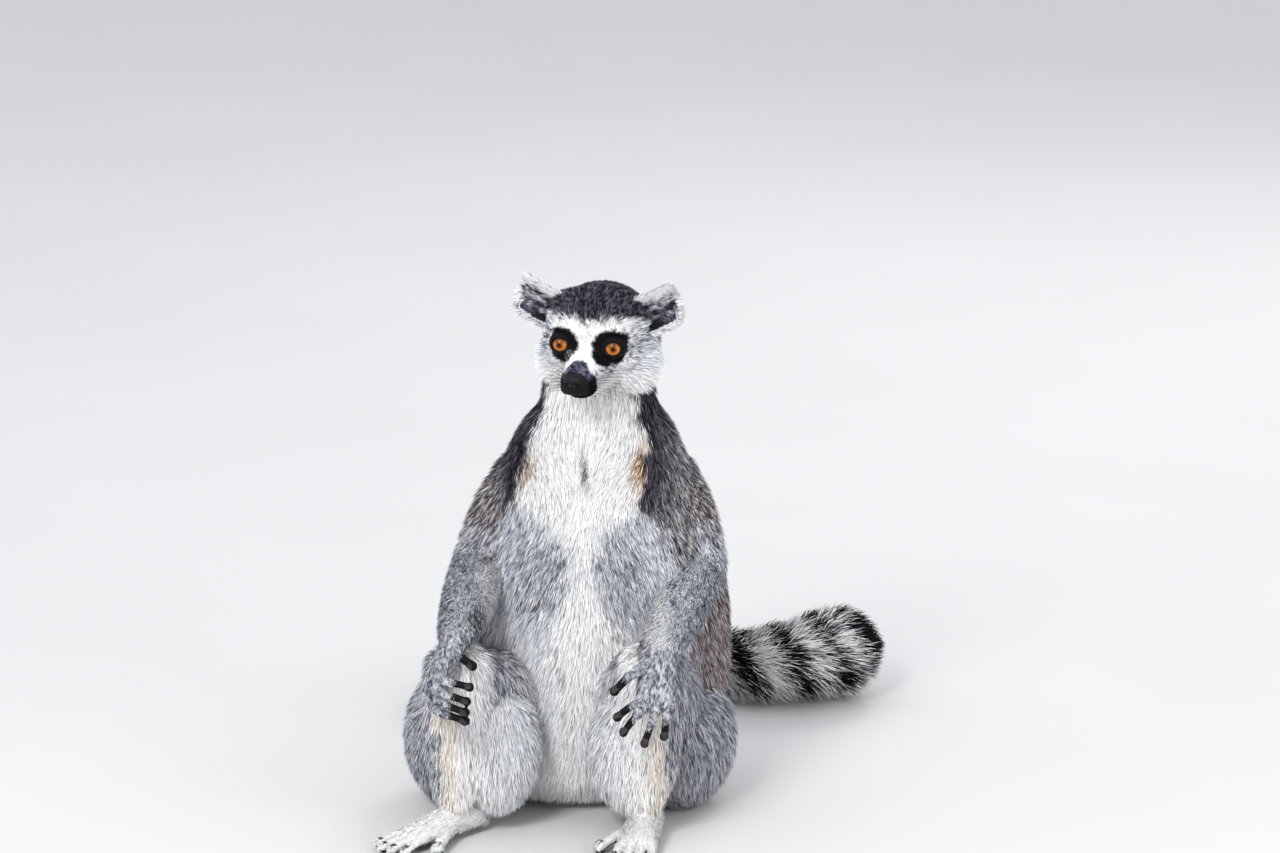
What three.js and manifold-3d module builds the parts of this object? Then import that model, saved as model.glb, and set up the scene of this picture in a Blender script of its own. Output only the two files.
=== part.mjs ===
// Ring-tailed lemur, sitting upright on its rump with its hands on its knees. Life size, in millimetres.
//
// +Z is up, the animal faces -Y and its left side is at +X. The origin is on the floor under the trunk.
// Every solid reaches out to the tips of the coat. The body is modelled as overlapping closed lofts, and
// each piece is then parted from the ones before it by a thin cut that follows the neighbour's surface.

import * as THREE from 'three';
import { ParametricGeometry } from 'three/addons/geometries/ParametricGeometry.js';
import { mergeVertices } from 'three/addons/utils/BufferGeometryUtils.js';
import Module from 'manifold-3d';

const wasm = await Module();
wasm.setup();

// ---- Driving dimensions -------------------------------------------------------------------------------

const GAP = 0.35; // left between neighbouring pieces
const BLOCK = 700; // side of the blocks that level the floor and part neck from trunk

// Head: a frame of its own, turned to the animal's right and tipped down
const HEAD_CENTRE = [22, -38, 338];
const HEAD_YAW = 20; // degrees towards the right shoulder
const HEAD_PITCH = 10; // degrees below level

const EYE_RADIUS = 7.8;
const EYE_PLACE = [25.5, 18.5, 4.5]; // forward, sideways and up from the head's centre
const EAR_LENGTH = 32.5; // from its root in the skull to the furry rim
const EAR_HALF = 14.5; // half of its width
const EAR_HALF_THICK = 2.6;
const EAR_ROOT = [-1, 30.5, 15.5];
const EAR_OUTWARD = [-0.07, 0.93, 0.36]; // from root to rim
const EAR_CORNER = 7; // how far the upper corner stands out beyond the lower one
const EAR_UPWARD = [-0.2, -0.28, 0.94]; // from its lower edge to its upper one
const EAR_WIDTHS = [[0, 0.8], [0.35, 0.95], [0.6, 1.02], [0.8, 1.06], [0.92, 1.04]]; // share of its width
const EAR_CUP = 0.4; // how deep it is hollowed, as a share of its width
const EAR_RIM = 0.3; // rounding of its rim

// Joints of the skeleton, as [x, y, z]: the animal's right side is at -X. Fingers run from first to last.
const POSE = {
  right: {
    shoulder: [-31, 3, 230],
    elbow: [-62, -14, 170],
    wrist: [-75, -112, 148],
    knuckles: [[-87, -133, 127], [-92, -128, 103]],
    fingertips: [[-66, -148, 122], [-68, -151, 113], [-69, -150, 105], [-69, -147, 98]],
    thumb: [[-74, -122, 146], [-64, -141, 135]],
    knuckleLift: [-5, -6, 2],
    hip: [-42, 8, 44],
    knee: [-75, -94, 120],
    ankle: [-78, -95, 24],
    calfInward: 27, // from the bone to the middle of the calf
    toesTurn: 46, // degrees outwards from straight ahead
  },
  left: {
    shoulder: [67, 4, 230],
    elbow: [90, -12, 170],
    wrist: [61, -114, 134],
    knuckles: [[49, -134, 107], [70, -134, 108]],
    fingertips: [[34, -147, 101], [38, -149, 91], [52, -148, 83], [65, -145, 87]],
    thumb: [[52, -124, 130], [32, -140, 117]],
    knuckleLift: [0, -5, 3],
    hip: [42, 8, 44],
    knee: [57, -94, 120],
    ankle: [52, -101, 24],
    calfInward: 9,
    toesTurn: -8,
  },
};

// Trunk and neck from rump to skull: height, middle x, middle y, half width, reach forward, reach back
const TORSO = [
  [8, 3, 22, 74, 76, 58],
  [34, 8, 20, 88, 86, 78],
  [78, 16, 18, 97, 91, 86],
  [122, 19, 13, 96, 89, 85],
  [164, 19, 6, 91, 80, 82],
  [204, 17, 3, 77, 65, 75],
  [240, 18, -1, 68, 54, 62],
  [266, 19, -7, 57, 46, 50],
  [288, 20, -15, 44, 37, 42],
  [314, 21, -24, 38, 30, 38],
];
const NECK_BASE = { at: [18, -5, 264], tip: 14 }; // where neck and trunk part, degrees lower in front

// Skull with its coat: forward, up, half width, reach above, reach below
const SKULL = [
  [-34, 0, 25, 24, 24],
  [-20, 0, 36, 35, 33],
  [-4, 0, 42, 39, 38],
  [10, -1, 42, 37, 38],
  [20, -3, 33, 32, 33],
  [27, -6, 22, 24, 25],
];
const SKULL_ENDS = [0.45, 0.22]; // rounding of the back of the head and of the face
const CHEEK = { at: [4, 21, -15], halves: [26.5, 24.5, 24.5] };

// Muzzle from between the eyes to the lips, in the columns of the skull
const MUZZLE = [
  [14, -10, 20, 20, 20],
  [29, -11, 18, 16.5, 17],
  [42, -13, 15.5, 12.5, 13],
  [52, -14.5, 13.2, 9.5, 9.5],
];
const NOSE = { at: [56.5, 0, -9.5], halves: [6.5, 4.5, 4.6] };

// Limb profiles: place along the bone, half width, reach forward and reach back
const UPPER_ARM = [
  [0, 25, 26, 27],
  [0.35, 28, 25, 27],
  [0.7, 26.5, 23, 26],
  [1, 23.5, 22, 24],
];
const FOREARM = [
  [0, 22, 23, 22],
  [0.3, 22, 22, 21],
  [0.65, 20.5, 18, 17],
  [1, 16, 13, 13],
];
const THIGH = [
  [0, 46, 44, 50],
  [0.35, 47, 42, 48],
  [0.7, 42, 33, 42],
  [0.95, 24, 23, 28],
];
const SHIN = [
  [0, 26, 26, 24],
  [0.3, 27, 25, 32],
  [0.65, 24, 20, 27],
  [1, 14, 14, 16],
];
const CALF = { along: 0.66, back: 16, halves: [34, 34, 51] };
const HAUNCH = { at: [33, -14, 46], halves: [45, 61, 59] }; // beside the hip, resting on the floor

// Hands and feet
const PALM = [
  [0, 14, 11, 11],
  [0.5, 15, 9.5, 9],
  [1, 15.5, 7, 6.5],
];
const FINGER_HALF = 3.8;
const FINGER_TAPER = [1, 0.95, 0.85]; // at its root, its middle joint and its tip
const THUMB_HALF = 4.2;
const KNUCKLE_EDGE = 0.15; // from the palm's edge to the first finger, in finger spacings
const SOLE = [
  [-20, 12, 12, 11],
  [8, 14, 14, 11],
  [36, 15, 9, 9],
];
const SOLE_HEIGHT = 9; // of the middle of the sole above the floor
const TOE_LENGTHS = [20, 24, 25, 21];
const TOE_TAPER = [1, 0.92, 0.85]; // at its root, its middle joint and its tip
const TOE_SPACING = 7.4;
const TOE_FAN = [0.85, 1.15]; // share of that spacing at the roots and at the tips
const TOE_HALF = 4.3;
const GREAT_TOE = { from: [10, 8], to: [38, 25], half: 5.2 }; // forward and inward of the ankle

// Tail: route of its middle, half thickness at each point, and where it is divided
const TAIL_ROUTE = [
  [4, 88, 34],
  [-26, 138, 28],
  [-70, 185, 27],
  [-82, 238, 28],
  [-42, 284, 28],
  [22, 282, 28],
  [82, 240, 28],
  [138, 216, 32],
  [195, 228, 38],
];
const TAIL_HALF = [27, 28, 28, 29, 29, 29, 29.5, 33, 38.5];
const TAIL_LENGTHS = 5;

// ---- Colours ------------------------------------------------------------------------------------------

const finish = (colour, roughness = 0.9) =>
  new THREE.MeshStandardMaterial({ color: colour, roughness, metalness: 0 });
const COAT_GREY = finish(0x9a958f);
const COAT_WHITE = finish(0xe9e6df);
const COAT_PALE = finish(0xcfcbc4);
const TAIL_BLACK = finish(0x1c1b1b);
const NOSE_SKIN = finish(0x151314, 0.45);
const EYE_AMBER = finish(0xb4550c, 0.1);

// ---- Vectors and closed solids ------------------------------------------------------------------------

const vec = ([x, y, z]) => new THREE.Vector3(x, y, z);
const blendOf = (from, to, t) => from.map((value, i) => value + (to[i] - value) * t);

/** A manifold solid from a closed three.js geometry, without the doubled and collapsed faces of its poles */
function solidOf(geometry) {
  geometry.deleteAttribute('normal');
  geometry.deleteAttribute('uv');
  const merged = mergeVertices(geometry, 1e-3);
  const index = Array.from(merged.index.array);
  const faces = [];
  for (let i = 0; i < index.length; i += 3) {
    const [a, b, c] = index.slice(i, i + 3);
    if (a !== b && b !== c && c !== a) faces.push(a, b, c);
  }
  return new wasm.Manifold(new wasm.Mesh({
    numProp: 3,
    vertProperties: merged.attributes.position.array,
    triVerts: new Uint32Array(faces),
  }));
}

const join = (...solids) => solids.reduce((whole, solid) => whole.add(solid));

/**
 * A closed loft through stations { at, size: [half width, reach over, reach under] }. Each section is an egg
 * across the route, and `side` is the direction of its width. The ends are rounded by `caps` times their
 * mean half size, or flat where a cap is 0. `facing` keeps all sections square to one direction, `span`
 * takes only that stretch of the route, `cup` bends both edges of the section over by that share of its
 * width, and `grow` swells the whole form by that many millimetres.
 */
function loft(stations, side, options = {}) {
  const { sides = 10, rings = 6, capRows = 2, caps = [1, 1], span = [0, 1] } = options;
  const { facing, cup = 0, grow = 0 } = options;
  const route = new THREE.CatmullRomCurve3(stations.map(({ at }) => vec(at)), false, 'centripetal');
  const sizes = new THREE.CubicInterpolant(
    stations.map((_, i) => i), stations.flatMap(({ size }) => size.map((half) => half + grow)), 3);
  const endRows = caps.map((cap) => (cap > 0 ? capRows : 1));
  const stacks = endRows[0] + rings + endRows[1];
  const surface = (u, v, target) => {
    const row = v * stacks - endRows[0];
    const t = THREE.MathUtils.mapLinear(THREE.MathUtils.clamp(row / rings, 0, 1), 0, 1, ...span);
    const end = row < 0 ? 0 : 1;
    const past = Math.min(Math.max(0, -row, row - rings) / endRows[end], 1) * Math.PI / 2;
    const [wide, over, under] = sizes.evaluate(t * (stations.length - 1));
    const tangent = facing ?? route.getTangent(t);
    const across = side.clone().addScaledVector(tangent, -side.dot(tangent)).normalize();
    const up = new THREE.Vector3().crossVectors(tangent, across);
    const reach = caps[end] > 0 ? caps[end] * (wide + over + under) / 3 : grow;
    const [sine, cosine] = [Math.sin(u * 2 * Math.PI), Math.cos(u * 2 * Math.PI)];
    const shrink = Math.max(0, Math.cos(past) - 1e-9);
    target.copy(route.getPoint(t))
      .addScaledVector(tangent, (end === 0 ? -reach : reach) * Math.sin(past))
      .addScaledVector(across, wide * cosine * shrink)
      .addScaledVector(up, ((sine > 0 ? over : under) * sine + cup * wide * cosine ** 2) * shrink);
  };
  return solidOf(new ParametricGeometry(surface, sides, stacks));
}

/** A loft along the straight bone between two joints, from a limb profile */
function bone(from, to, profile, side, options) {
  const stations = profile.map(([t, ...size]) => ({ at: blendOf(from, to, t), size }));
  return loft(stations, side, options);
}

/** A ball stretched to three half sizes, for the lobes of the cheeks, haunches and palms */
function lobe(centre, halves, grow = 0, turn = new THREE.Matrix4()) {
  const ball = new THREE.SphereGeometry(1, 10, 8);
  ball.scale(...halves.map((half) => half + grow));
  ball.applyMatrix4(turn);
  ball.translate(...centre);
  return solidOf(ball);
}

// ---- Head ---------------------------------------------------------------------------------------------

const headTurn = new THREE.Matrix4().makeRotationZ(THREE.MathUtils.degToRad(-HEAD_YAW))
  .multiply(new THREE.Matrix4().makeRotationX(THREE.MathUtils.degToRad(HEAD_PITCH)));

/** A place given as forward, sideways (to the animal's left) and up from the middle of the head */
function inHead([forward, sideways, up]) {
  return vec([sideways, -forward, up]).applyMatrix4(headTurn).add(vec(HEAD_CENTRE)).toArray();
}

const headSide = vec([1, 0, 0]).applyMatrix4(headTurn);
const headForward = vec([0, -1, 0]).applyMatrix4(headTurn);

function headLoft(rows, options) {
  const stations = rows.map(([forward, up, ...size]) => ({ at: inHead([forward, 0, up]), size }));
  return loft(stations, headSide, { facing: headForward, ...options });
}

function skull(grow) {
  const cranium = headLoft(SKULL, { sides: 18, rings: 8, caps: SKULL_ENDS, grow });
  const muzzle = headLoft(MUZZLE, { sides: 12, rings: 5, caps: [0.5, 0.5], grow });
  const [forward, sideways, up] = CHEEK.at;
  const cheeks = [-1, 1].map((hand) =>
    lobe(inHead([forward, hand * sideways, up]), CHEEK.halves, grow, headTurn));
  return join(cranium, muzzle, ...cheeks);
}

const eyePlace = (hand) => inHead([EYE_PLACE[0], hand * EYE_PLACE[1], EYE_PLACE[2]]);

function eye(hand, grow) {
  return lobe(eyePlace(hand), [EYE_RADIUS, EYE_RADIUS, EYE_RADIUS], grow);
}

function nose(grow) {
  return lobe(inHead(NOSE.at), NOSE.halves, grow, headTurn);
}

/** A cup of an ear, open forwards, whose upper corner stands out beyond its lower one */
function ear(hand, grow) {
  const place = ([forward, sideways, up]) => vec([hand * sideways, -forward, up]);
  const outward = place(EAR_OUTWARD).normalize();
  const upward = place(EAR_UPWARD).normalize();
  const stations = EAR_WIDTHS.map(([t, share]) => ({
    at: place(EAR_ROOT).addScaledVector(outward, t * EAR_LENGTH).addScaledVector(upward, EAR_CORNER * t * t)
      .applyMatrix4(headTurn).add(vec(HEAD_CENTRE)).toArray(),
    size: [EAR_HALF * share, EAR_HALF_THICK, EAR_HALF_THICK],
  }));
  const facing = outward.clone().applyMatrix4(headTurn);
  const side = upward.multiplyScalar(hand).applyMatrix4(headTurn);
  return loft(stations, side, { rings: 4, caps: [0, EAR_RIM], cup: EAR_CUP, facing, grow });
}

// ---- Trunk, neck and tail -----------------------------------------------------------------------------

const TO_RIGHT = vec([-1, 0, 0]);
const UPWARDS = vec([0, 0, 1]);

/** A block whose lower face tips forward through the base of the neck, or whose upper face does */
function neckBlock(above, grow) {
  const block = new THREE.BoxGeometry(BLOCK, BLOCK, BLOCK);
  block.translate(0, 0, (above ? 1 : -1) * (BLOCK / 2 - grow));
  block.rotateX(THREE.MathUtils.degToRad(NECK_BASE.tip));
  block.translate(...NECK_BASE.at);
  return solidOf(block);
}

function torso(grow) {
  const stations = TORSO.map(([z, x, y, ...size]) => ({ at: [x, y, z], size }));
  return loft(stations, TO_RIGHT, { sides: 20, rings: 13, caps: [0.3, 0.2], facing: UPWARDS, grow });
}

const trunk = (grow) => torso(grow).subtract(neckBlock(true, -grow));
const neck = (grow) => torso(grow).subtract(neckBlock(false, -grow));

/** One length of the tail, with flat ends square to its route and a blunt tip */
function tailLength(number, grow) {
  const stations = TAIL_ROUTE.map((at, i) => ({ at, size: [TAIL_HALF[i], TAIL_HALF[i], TAIL_HALF[i]] }));
  const span = [(number - 1) / TAIL_LENGTHS, number / TAIL_LENGTHS];
  const caps = [0, number === TAIL_LENGTHS ? 0.9 : 0];
  return loft(stations, UPWARDS, { sides: 12, rings: 4, span, caps, grow });
}

// ---- Limbs --------------------------------------------------------------------------------------------

const poseOf = (hand) => (hand < 0 ? POSE.right : POSE.left);

function upperArm(hand, grow) {
  const { shoulder, elbow } = poseOf(hand);
  return bone(shoulder, elbow, UPPER_ARM, vec([1, 0, 0]), { caps: [0.7, 0.8], grow });
}

function forearm(hand, grow) {
  const { elbow, wrist } = poseOf(hand);
  return bone(elbow, wrist, FOREARM, vec([1, 0, 0]), { caps: [0.8, 0.5], grow });
}

function palmAndFingers(hand, grow) {
  const { wrist, knuckles, fingertips, thumb, knuckleLift } = poseOf(hand);
  const row = vec(knuckles[0]).sub(vec(knuckles[1])).normalize();
  const middle = blendOf(...knuckles, 0.5);
  const palm = bone(wrist, middle, PALM, row, { sides: 10, rings: 2, caps: [0.4, 0.6], grow });
  const digit = (from, to, half) => {
    const bent = vec(blendOf(from, to, 0.5)).add(vec(knuckleLift)).toArray();
    const stations = [from, bent, to].map((at, i) => ({ at, size: Array(3).fill(half * FINGER_TAPER[i]) }));
    return loft(stations, row, { sides: 6, rings: 2, caps: [0, 0.9], grow });
  };
  const spacings = fingertips.length - 1 + 2 * KNUCKLE_EDGE;
  const fingers = fingertips.map((tip, i) =>
    digit(blendOf(...knuckles, (i + KNUCKLE_EDGE) / spacings), tip, FINGER_HALF));
  return join(palm, digit(...thumb, THUMB_HALF), ...fingers);
}

function thigh(hand, grow) {
  const { hip, knee } = poseOf(hand);
  const shaft = bone(hip, knee, THIGH, vec([1, 0, 0]), { sides: 12, caps: [0.7, 0.4], grow });
  const haunch = lobe([hip[0] + hand * HAUNCH.at[0], HAUNCH.at[1], HAUNCH.at[2]], HAUNCH.halves, grow);
  return join(shaft, haunch);
}

function shin(hand, grow) {
  const { knee, ankle, calfInward } = poseOf(hand);
  const shaft = bone(knee, ankle, SHIN, vec([1, 0, 0]), { caps: [0.8, 0.5], grow });
  const [x, y, z] = blendOf(knee, ankle, CALF.along);
  return join(shaft, lobe([x - hand * calfInward, y + CALF.back, z], CALF.halves, grow));
}

/** A foot flat on the floor, its great toe set apart on the inner side */
function foot(side, grow) {
  const { ankle, toesTurn } = poseOf(side);
  const turn = THREE.MathUtils.degToRad(toesTurn);
  const ahead = [side * Math.sin(turn), -Math.cos(turn)];
  const inward = [-side * Math.cos(turn), -Math.sin(turn)];
  const place = (forward, inwards, up) => [
    ankle[0] + forward * ahead[0] + inwards * inward[0],
    ankle[1] + forward * ahead[1] + inwards * inward[1],
    up,
  ];
  const across = vec([1, 0, 0]);
  const sole = loft(SOLE.map(([forward, ...size]) => ({ at: place(forward, 0, SOLE_HEIGHT), size })),
    across, { sides: 10, rings: 3, caps: [0.7, 0.5], grow });
  const toe = (from, to, half) => {
    const points = [[...from, half * 1.5], [...blendOf(from, to, 0.55), half * 1.2], [...to, half]];
    const stations = points.map((point, i) => {
      const radius = half * TOE_TAPER[i];
      return { at: place(...point), size: [radius, radius, radius] };
    });
    return loft(stations, across, { sides: 6, rings: 2, caps: [0, 0.8], grow });
  };
  const front = SOLE[SOLE.length - 1][0];
  const toes = TOE_LENGTHS.map((length, i) => {
    const apart = ((TOE_LENGTHS.length - 1) / 2 - i) * TOE_SPACING;
    return toe([front - TOE_HALF, apart * TOE_FAN[0]], [front + length, apart * TOE_FAN[1]], TOE_HALF);
  });
  return join(sole, toe(GREAT_TOE.from, GREAT_TOE.to, GREAT_TOE.half), ...toes);
}

// ---- Parting and the model ----------------------------------------------------------------------------

const floorBlock = solidOf(new THREE.BoxGeometry(BLOCK, BLOCK, BLOCK).translate(0, 0, -BLOCK / 2));

const pairOf = (name, form, material) => [
  [`${name}_right`, (grow) => form(-1, grow), material],
  [`${name}_left`, (grow) => form(1, grow), material],
];

// Earlier forms stay whole, and later ones are cut back from them
const FORMS = [
  ...pairOf('eye', eye, EYE_AMBER),
  ['nose', nose, NOSE_SKIN],
  ...pairOf('ear', ear, COAT_WHITE),
  ['head', skull, COAT_WHITE],
  ...pairOf('hand', palmAndFingers, COAT_GREY),
  ['trunk', trunk, COAT_PALE],
  ['neck', neck, COAT_WHITE],
  ...pairOf('upper_arm', upperArm, COAT_GREY),
  ...pairOf('forearm', forearm, COAT_GREY),
  ...pairOf('foot', foot, COAT_WHITE),
  ...pairOf('shin', shin, COAT_WHITE),
  ...pairOf('thigh', thigh, COAT_GREY),
];
for (let number = 1; number <= TAIL_LENGTHS; number += 1) {
  FORMS.push([`tail_${number}`, (grow) => tailLength(number, grow), number % 2 ? TAIL_BLACK : COAT_PALE]);
}

const overlap = (a, b) => [0, 1, 2].every((i) => a.min[i] <= b.max[i] && b.min[i] <= a.max[i]);

/** Every form levelled at the floor and parted from the forms before it */
function parted(forms) {
  const cutters = [];
  return forms.map(([name, form, material]) => {
    let solid = form(0).subtract(floorBlock);
    const box = solid.boundingBox();
    for (const cutter of cutters) {
      if (overlap(box, cutter.boundingBox())) solid = solid.subtract(cutter);
    }
    cutters.push(form(GAP));
    return [name, solid, material];
  });
}

function meshOf(name, solid, material) {
  const { vertProperties, triVerts } = solid.getMesh();
  const geometry = new THREE.BufferGeometry();
  geometry.setAttribute('position', new THREE.BufferAttribute(vertProperties, 3));
  geometry.setIndex(new THREE.BufferAttribute(triVerts, 1));
  geometry.computeVertexNormals();
  const mesh = new THREE.Mesh(geometry, material);
  mesh.name = name;
  return mesh;
}

const lemur = new THREE.Group();
for (const piece of parted(FORMS)) lemur.add(meshOf(...piece));

export default lemur;
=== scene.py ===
"""Looks of a life-size ring-tailed lemur that sits with its hands on its knees.

One skin is lofted from the body's forms, fused and softened, and the coat grows on it as blades that follow
the lie of the hair. Skin and coat take their colours from the same markings. Sizes are in millimetres in the
frame of the solids, and become metres when a mesh is made: x to the animal's left, -y ahead of it, z up.
"""
import math
from itertools import product

import bmesh
import bpy
import numpy as np
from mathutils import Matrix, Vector, kdtree


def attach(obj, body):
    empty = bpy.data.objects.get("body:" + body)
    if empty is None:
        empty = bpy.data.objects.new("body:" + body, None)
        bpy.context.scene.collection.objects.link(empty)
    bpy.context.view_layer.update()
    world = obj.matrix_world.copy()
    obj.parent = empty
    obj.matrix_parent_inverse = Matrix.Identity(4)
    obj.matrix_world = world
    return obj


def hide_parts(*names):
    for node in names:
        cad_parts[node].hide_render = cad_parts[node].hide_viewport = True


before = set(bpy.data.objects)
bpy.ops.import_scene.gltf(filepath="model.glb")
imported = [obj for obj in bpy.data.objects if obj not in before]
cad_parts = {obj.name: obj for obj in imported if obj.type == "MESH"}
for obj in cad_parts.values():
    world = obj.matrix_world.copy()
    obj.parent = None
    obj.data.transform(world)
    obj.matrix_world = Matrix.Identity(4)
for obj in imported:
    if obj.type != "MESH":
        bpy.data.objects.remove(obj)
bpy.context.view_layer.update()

MM = 0.001
random = np.random.default_rng(11)

# ---- Driving dimensions ---------------------------------------------------------------------------------

SIDES = {"right": -1, "left": 1}
SIDEWAYS = np.array([1.0, 0, 0])
UP = np.array([0, 0, 1.0])

HEAD_CENTRE = np.array([22.0, -38.0, 338.0])
HEAD_YAW = 20  # degrees towards the animal's right
HEAD_PITCH = 10  # degrees below level
EYE_RADIUS = 7.6
EYE_PLACE = np.array([25.0, 18.5, 4.5])  # forward, sideways and up from the head's centre
GAZE = {-1: (0.955, 0.10, 0.10), 1: (0.93, 0.33, 0.10)}  # forward, sideways and up in the head

EAR_LENGTH = 29
EAR_HALF = 12.4
EAR_THICKNESS = 0.9
EAR_CUP = 0.36  # how far its edges bend forward, as a share of its half width
EAR_CORNER = 3  # how far its upper corner stands out beyond its lower one
EAR_ROOT = np.array([-1.0, 28.5, 16.0])
EAR_OUTWARD = np.array([-0.05, 0.93, 0.35])
EAR_UPWARD = np.array([-0.17, -0.27, 0.95])

NOSE_PLACE = (53.6, 0, -9.8)
NOSE_AHEAD, NOSE_HALF, NOSE_ABOVE, NOSE_BELOW = 6.2, 7.3, 4.8, 5.4

# Joints, as in the solids
POSE = {
    -1: {
        "shoulder": (-31, 3, 230), "elbow": (-62, -14, 170), "wrist": (-75, -112, 148),
        "knuckles": [(-87, -133, 127), (-92, -128, 103)],
        "fingertips": [(-66, -148, 122), (-68, -151, 113), (-69, -150, 105), (-69, -147, 98)],
        "thumb": [(-74, -122, 146), (-64, -141, 135)], "knuckle_lift": (-5, -6, 2),
        "hip": (-42, 8, 44), "knee": (-75, -94, 120), "ankle": (-78, -95, 24),
        "calf_inward": 27, "toes_turn": 46,
    },
    1: {
        "shoulder": (67, 4, 230), "elbow": (90, -12, 170), "wrist": (61, -114, 134),
        "knuckles": [(49, -134, 107), (70, -134, 108)],
        "fingertips": [(34, -147, 101), (38, -149, 91), (52, -148, 83), (65, -145, 87)],
        "thumb": [(52, -124, 130), (32, -140, 117)], "knuckle_lift": (0, -5, 3),
        "hip": (42, 8, 44), "knee": (57, -94, 120), "ankle": (52, -101, 24),
        "calf_inward": 9, "toes_turn": -8,
    },
}
POSE = {hand: {name: np.array(value, float) for name, value in pose.items()} for hand, pose in POSE.items()}
BONES = {"arm": ("shoulder", "elbow"), "forearm": ("elbow", "wrist"), "thigh": ("hip", "knee"),
         "shin": ("knee", "ankle")}

TOE_LENGTHS = (20, 24, 25, 21)
TOE_GAP = 7.4
TOE_ROOT, TOE_START = 32, 36  # how far ahead of the ankle a toe's root lies, and its length is counted from
SOLE_HEIGHT = 9

# Trunk and neck: middle x, y, z, then half width, reach forward and reach back, out to the tips of the coat
TORSO = np.array([
    (3, 22, 8, 74, 76, 58), (8, 20, 34, 88, 86, 78), (16, 18, 78, 97, 91, 86), (19, 13, 122, 96, 89, 85),
    (19, 6, 164, 91, 80, 82), (17, 3, 204, 77, 65, 75), (18, -1, 240, 68, 54, 62), (19, -7, 266, 57, 46, 50),
    (20, -15, 288, 44, 37, 42), (21, -24, 314, 38, 30, 38)], float)
TORSO_COAT = (8.5, 8.5, 9.5)  # depth of the coat at its sides, in front and behind

TAIL_ROUTE = np.array([
    (4, 88, 34), (-26, 138, 28), (-70, 185, 27), (-82, 238, 28), (-42, 284, 28), (22, 282, 28),
    (82, 240, 28), (138, 216, 32), (195, 228, 38)], float)
TAIL_HALF = np.array([27, 28, 28, 29, 29, 29, 29.5, 33, 38.5])
TAIL_COAT = 15.5

VOXEL = 1.15  # grain in which the forms are fused
SOFTENINGS = 26  # how often a place is drawn towards the mean of its neighbours
SKIN_TRIANGLES = 150_000
FLOOR_CLEARANCE = 0.4  # of the lowest hairs

# ---- Vectors, curves and noise --------------------------------------------------------------------------


def unit(v):
    return v / np.maximum(np.linalg.norm(v, axis=-1, keepdims=True), 1e-9)


def along(a, b):
    return np.sum(a * b, axis=-1, keepdims=True)


def off(v, axis):
    """What is left of a vector without its share along an axis"""
    return v - along(v, axis) * axis


def ramp(low, high, x):
    """Smooth step from 0 at low to 1 at high: 3t^2 - 2t^3"""
    t = np.clip((x - low) / (high - low), 0, 1)
    return t * t * (3 - 2 * t)


def bell(*offsets):
    """1 where all offsets are 0, falling by e to the minus sum of their squares"""
    return np.exp(-sum(offset**2 for offset in offsets))


def mix(a, b, t):
    return a + (b - a) * t


def turns(count):
    """Angles of one full turn in equal steps"""
    return np.arange(count) * 2 * math.pi / count


def spline(rows, t):
    """Values at t, from 0 to 1 through evenly numbered rows, on cubic curves whose slope at a row is half
    the step between its neighbours."""
    rows = np.asarray(rows, float)
    last = len(rows) - 1
    place = np.clip(t, 0, 1) * last
    i = np.minimum(place.astype(int), last - 1)
    f = (place - i)[:, None]
    before, a, b, after = (rows[np.clip(i + k, 0, last)] for k in (-1, 0, 1, 2))
    before = np.where((i == 0)[:, None], 2 * a - b, before)
    after = np.where((i == last - 1)[:, None], 2 * b - a, after)
    return (a + f * (b - before) / 2 + f**2 * (before - 2.5 * a + 2 * b - after / 2)
            + f**3 * (1.5 * (a - b) + (after - before) / 2))


def noise(points, size, seed=0):
    """Smooth noise from -1 to 1: hashed values at the corners of cubes of a given size, blended by ramps."""
    place = points / size
    cell = np.floor(place).astype(np.int64)
    f = place - cell
    f = f * f * (3 - 2 * f)
    total = np.zeros(len(points))
    for corner in product((0, 1), repeat=3):
        x, y, z = (cell + corner).T
        key = (x * 73856093) ^ (y * 19349663) ^ (z * 83492791) ^ (seed * 961748927)
        key = ((key ^ (key >> 15)) * 2246822519) & 0xFFFFFFFF
        key = ((key ^ (key >> 13)) * 3266489917) & 0xFFFFFFFF
        value = ((key ^ (key >> 16)) & 0xFFFF) / 0x7FFF - 1
        total += value * np.prod(np.where(corner, f, 1 - f), axis=1)
    return total


# ---- Grids of points and meshes -------------------------------------------------------------------------

POLE = 0.02  # how far short of its poles a grid ends, in radians


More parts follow.
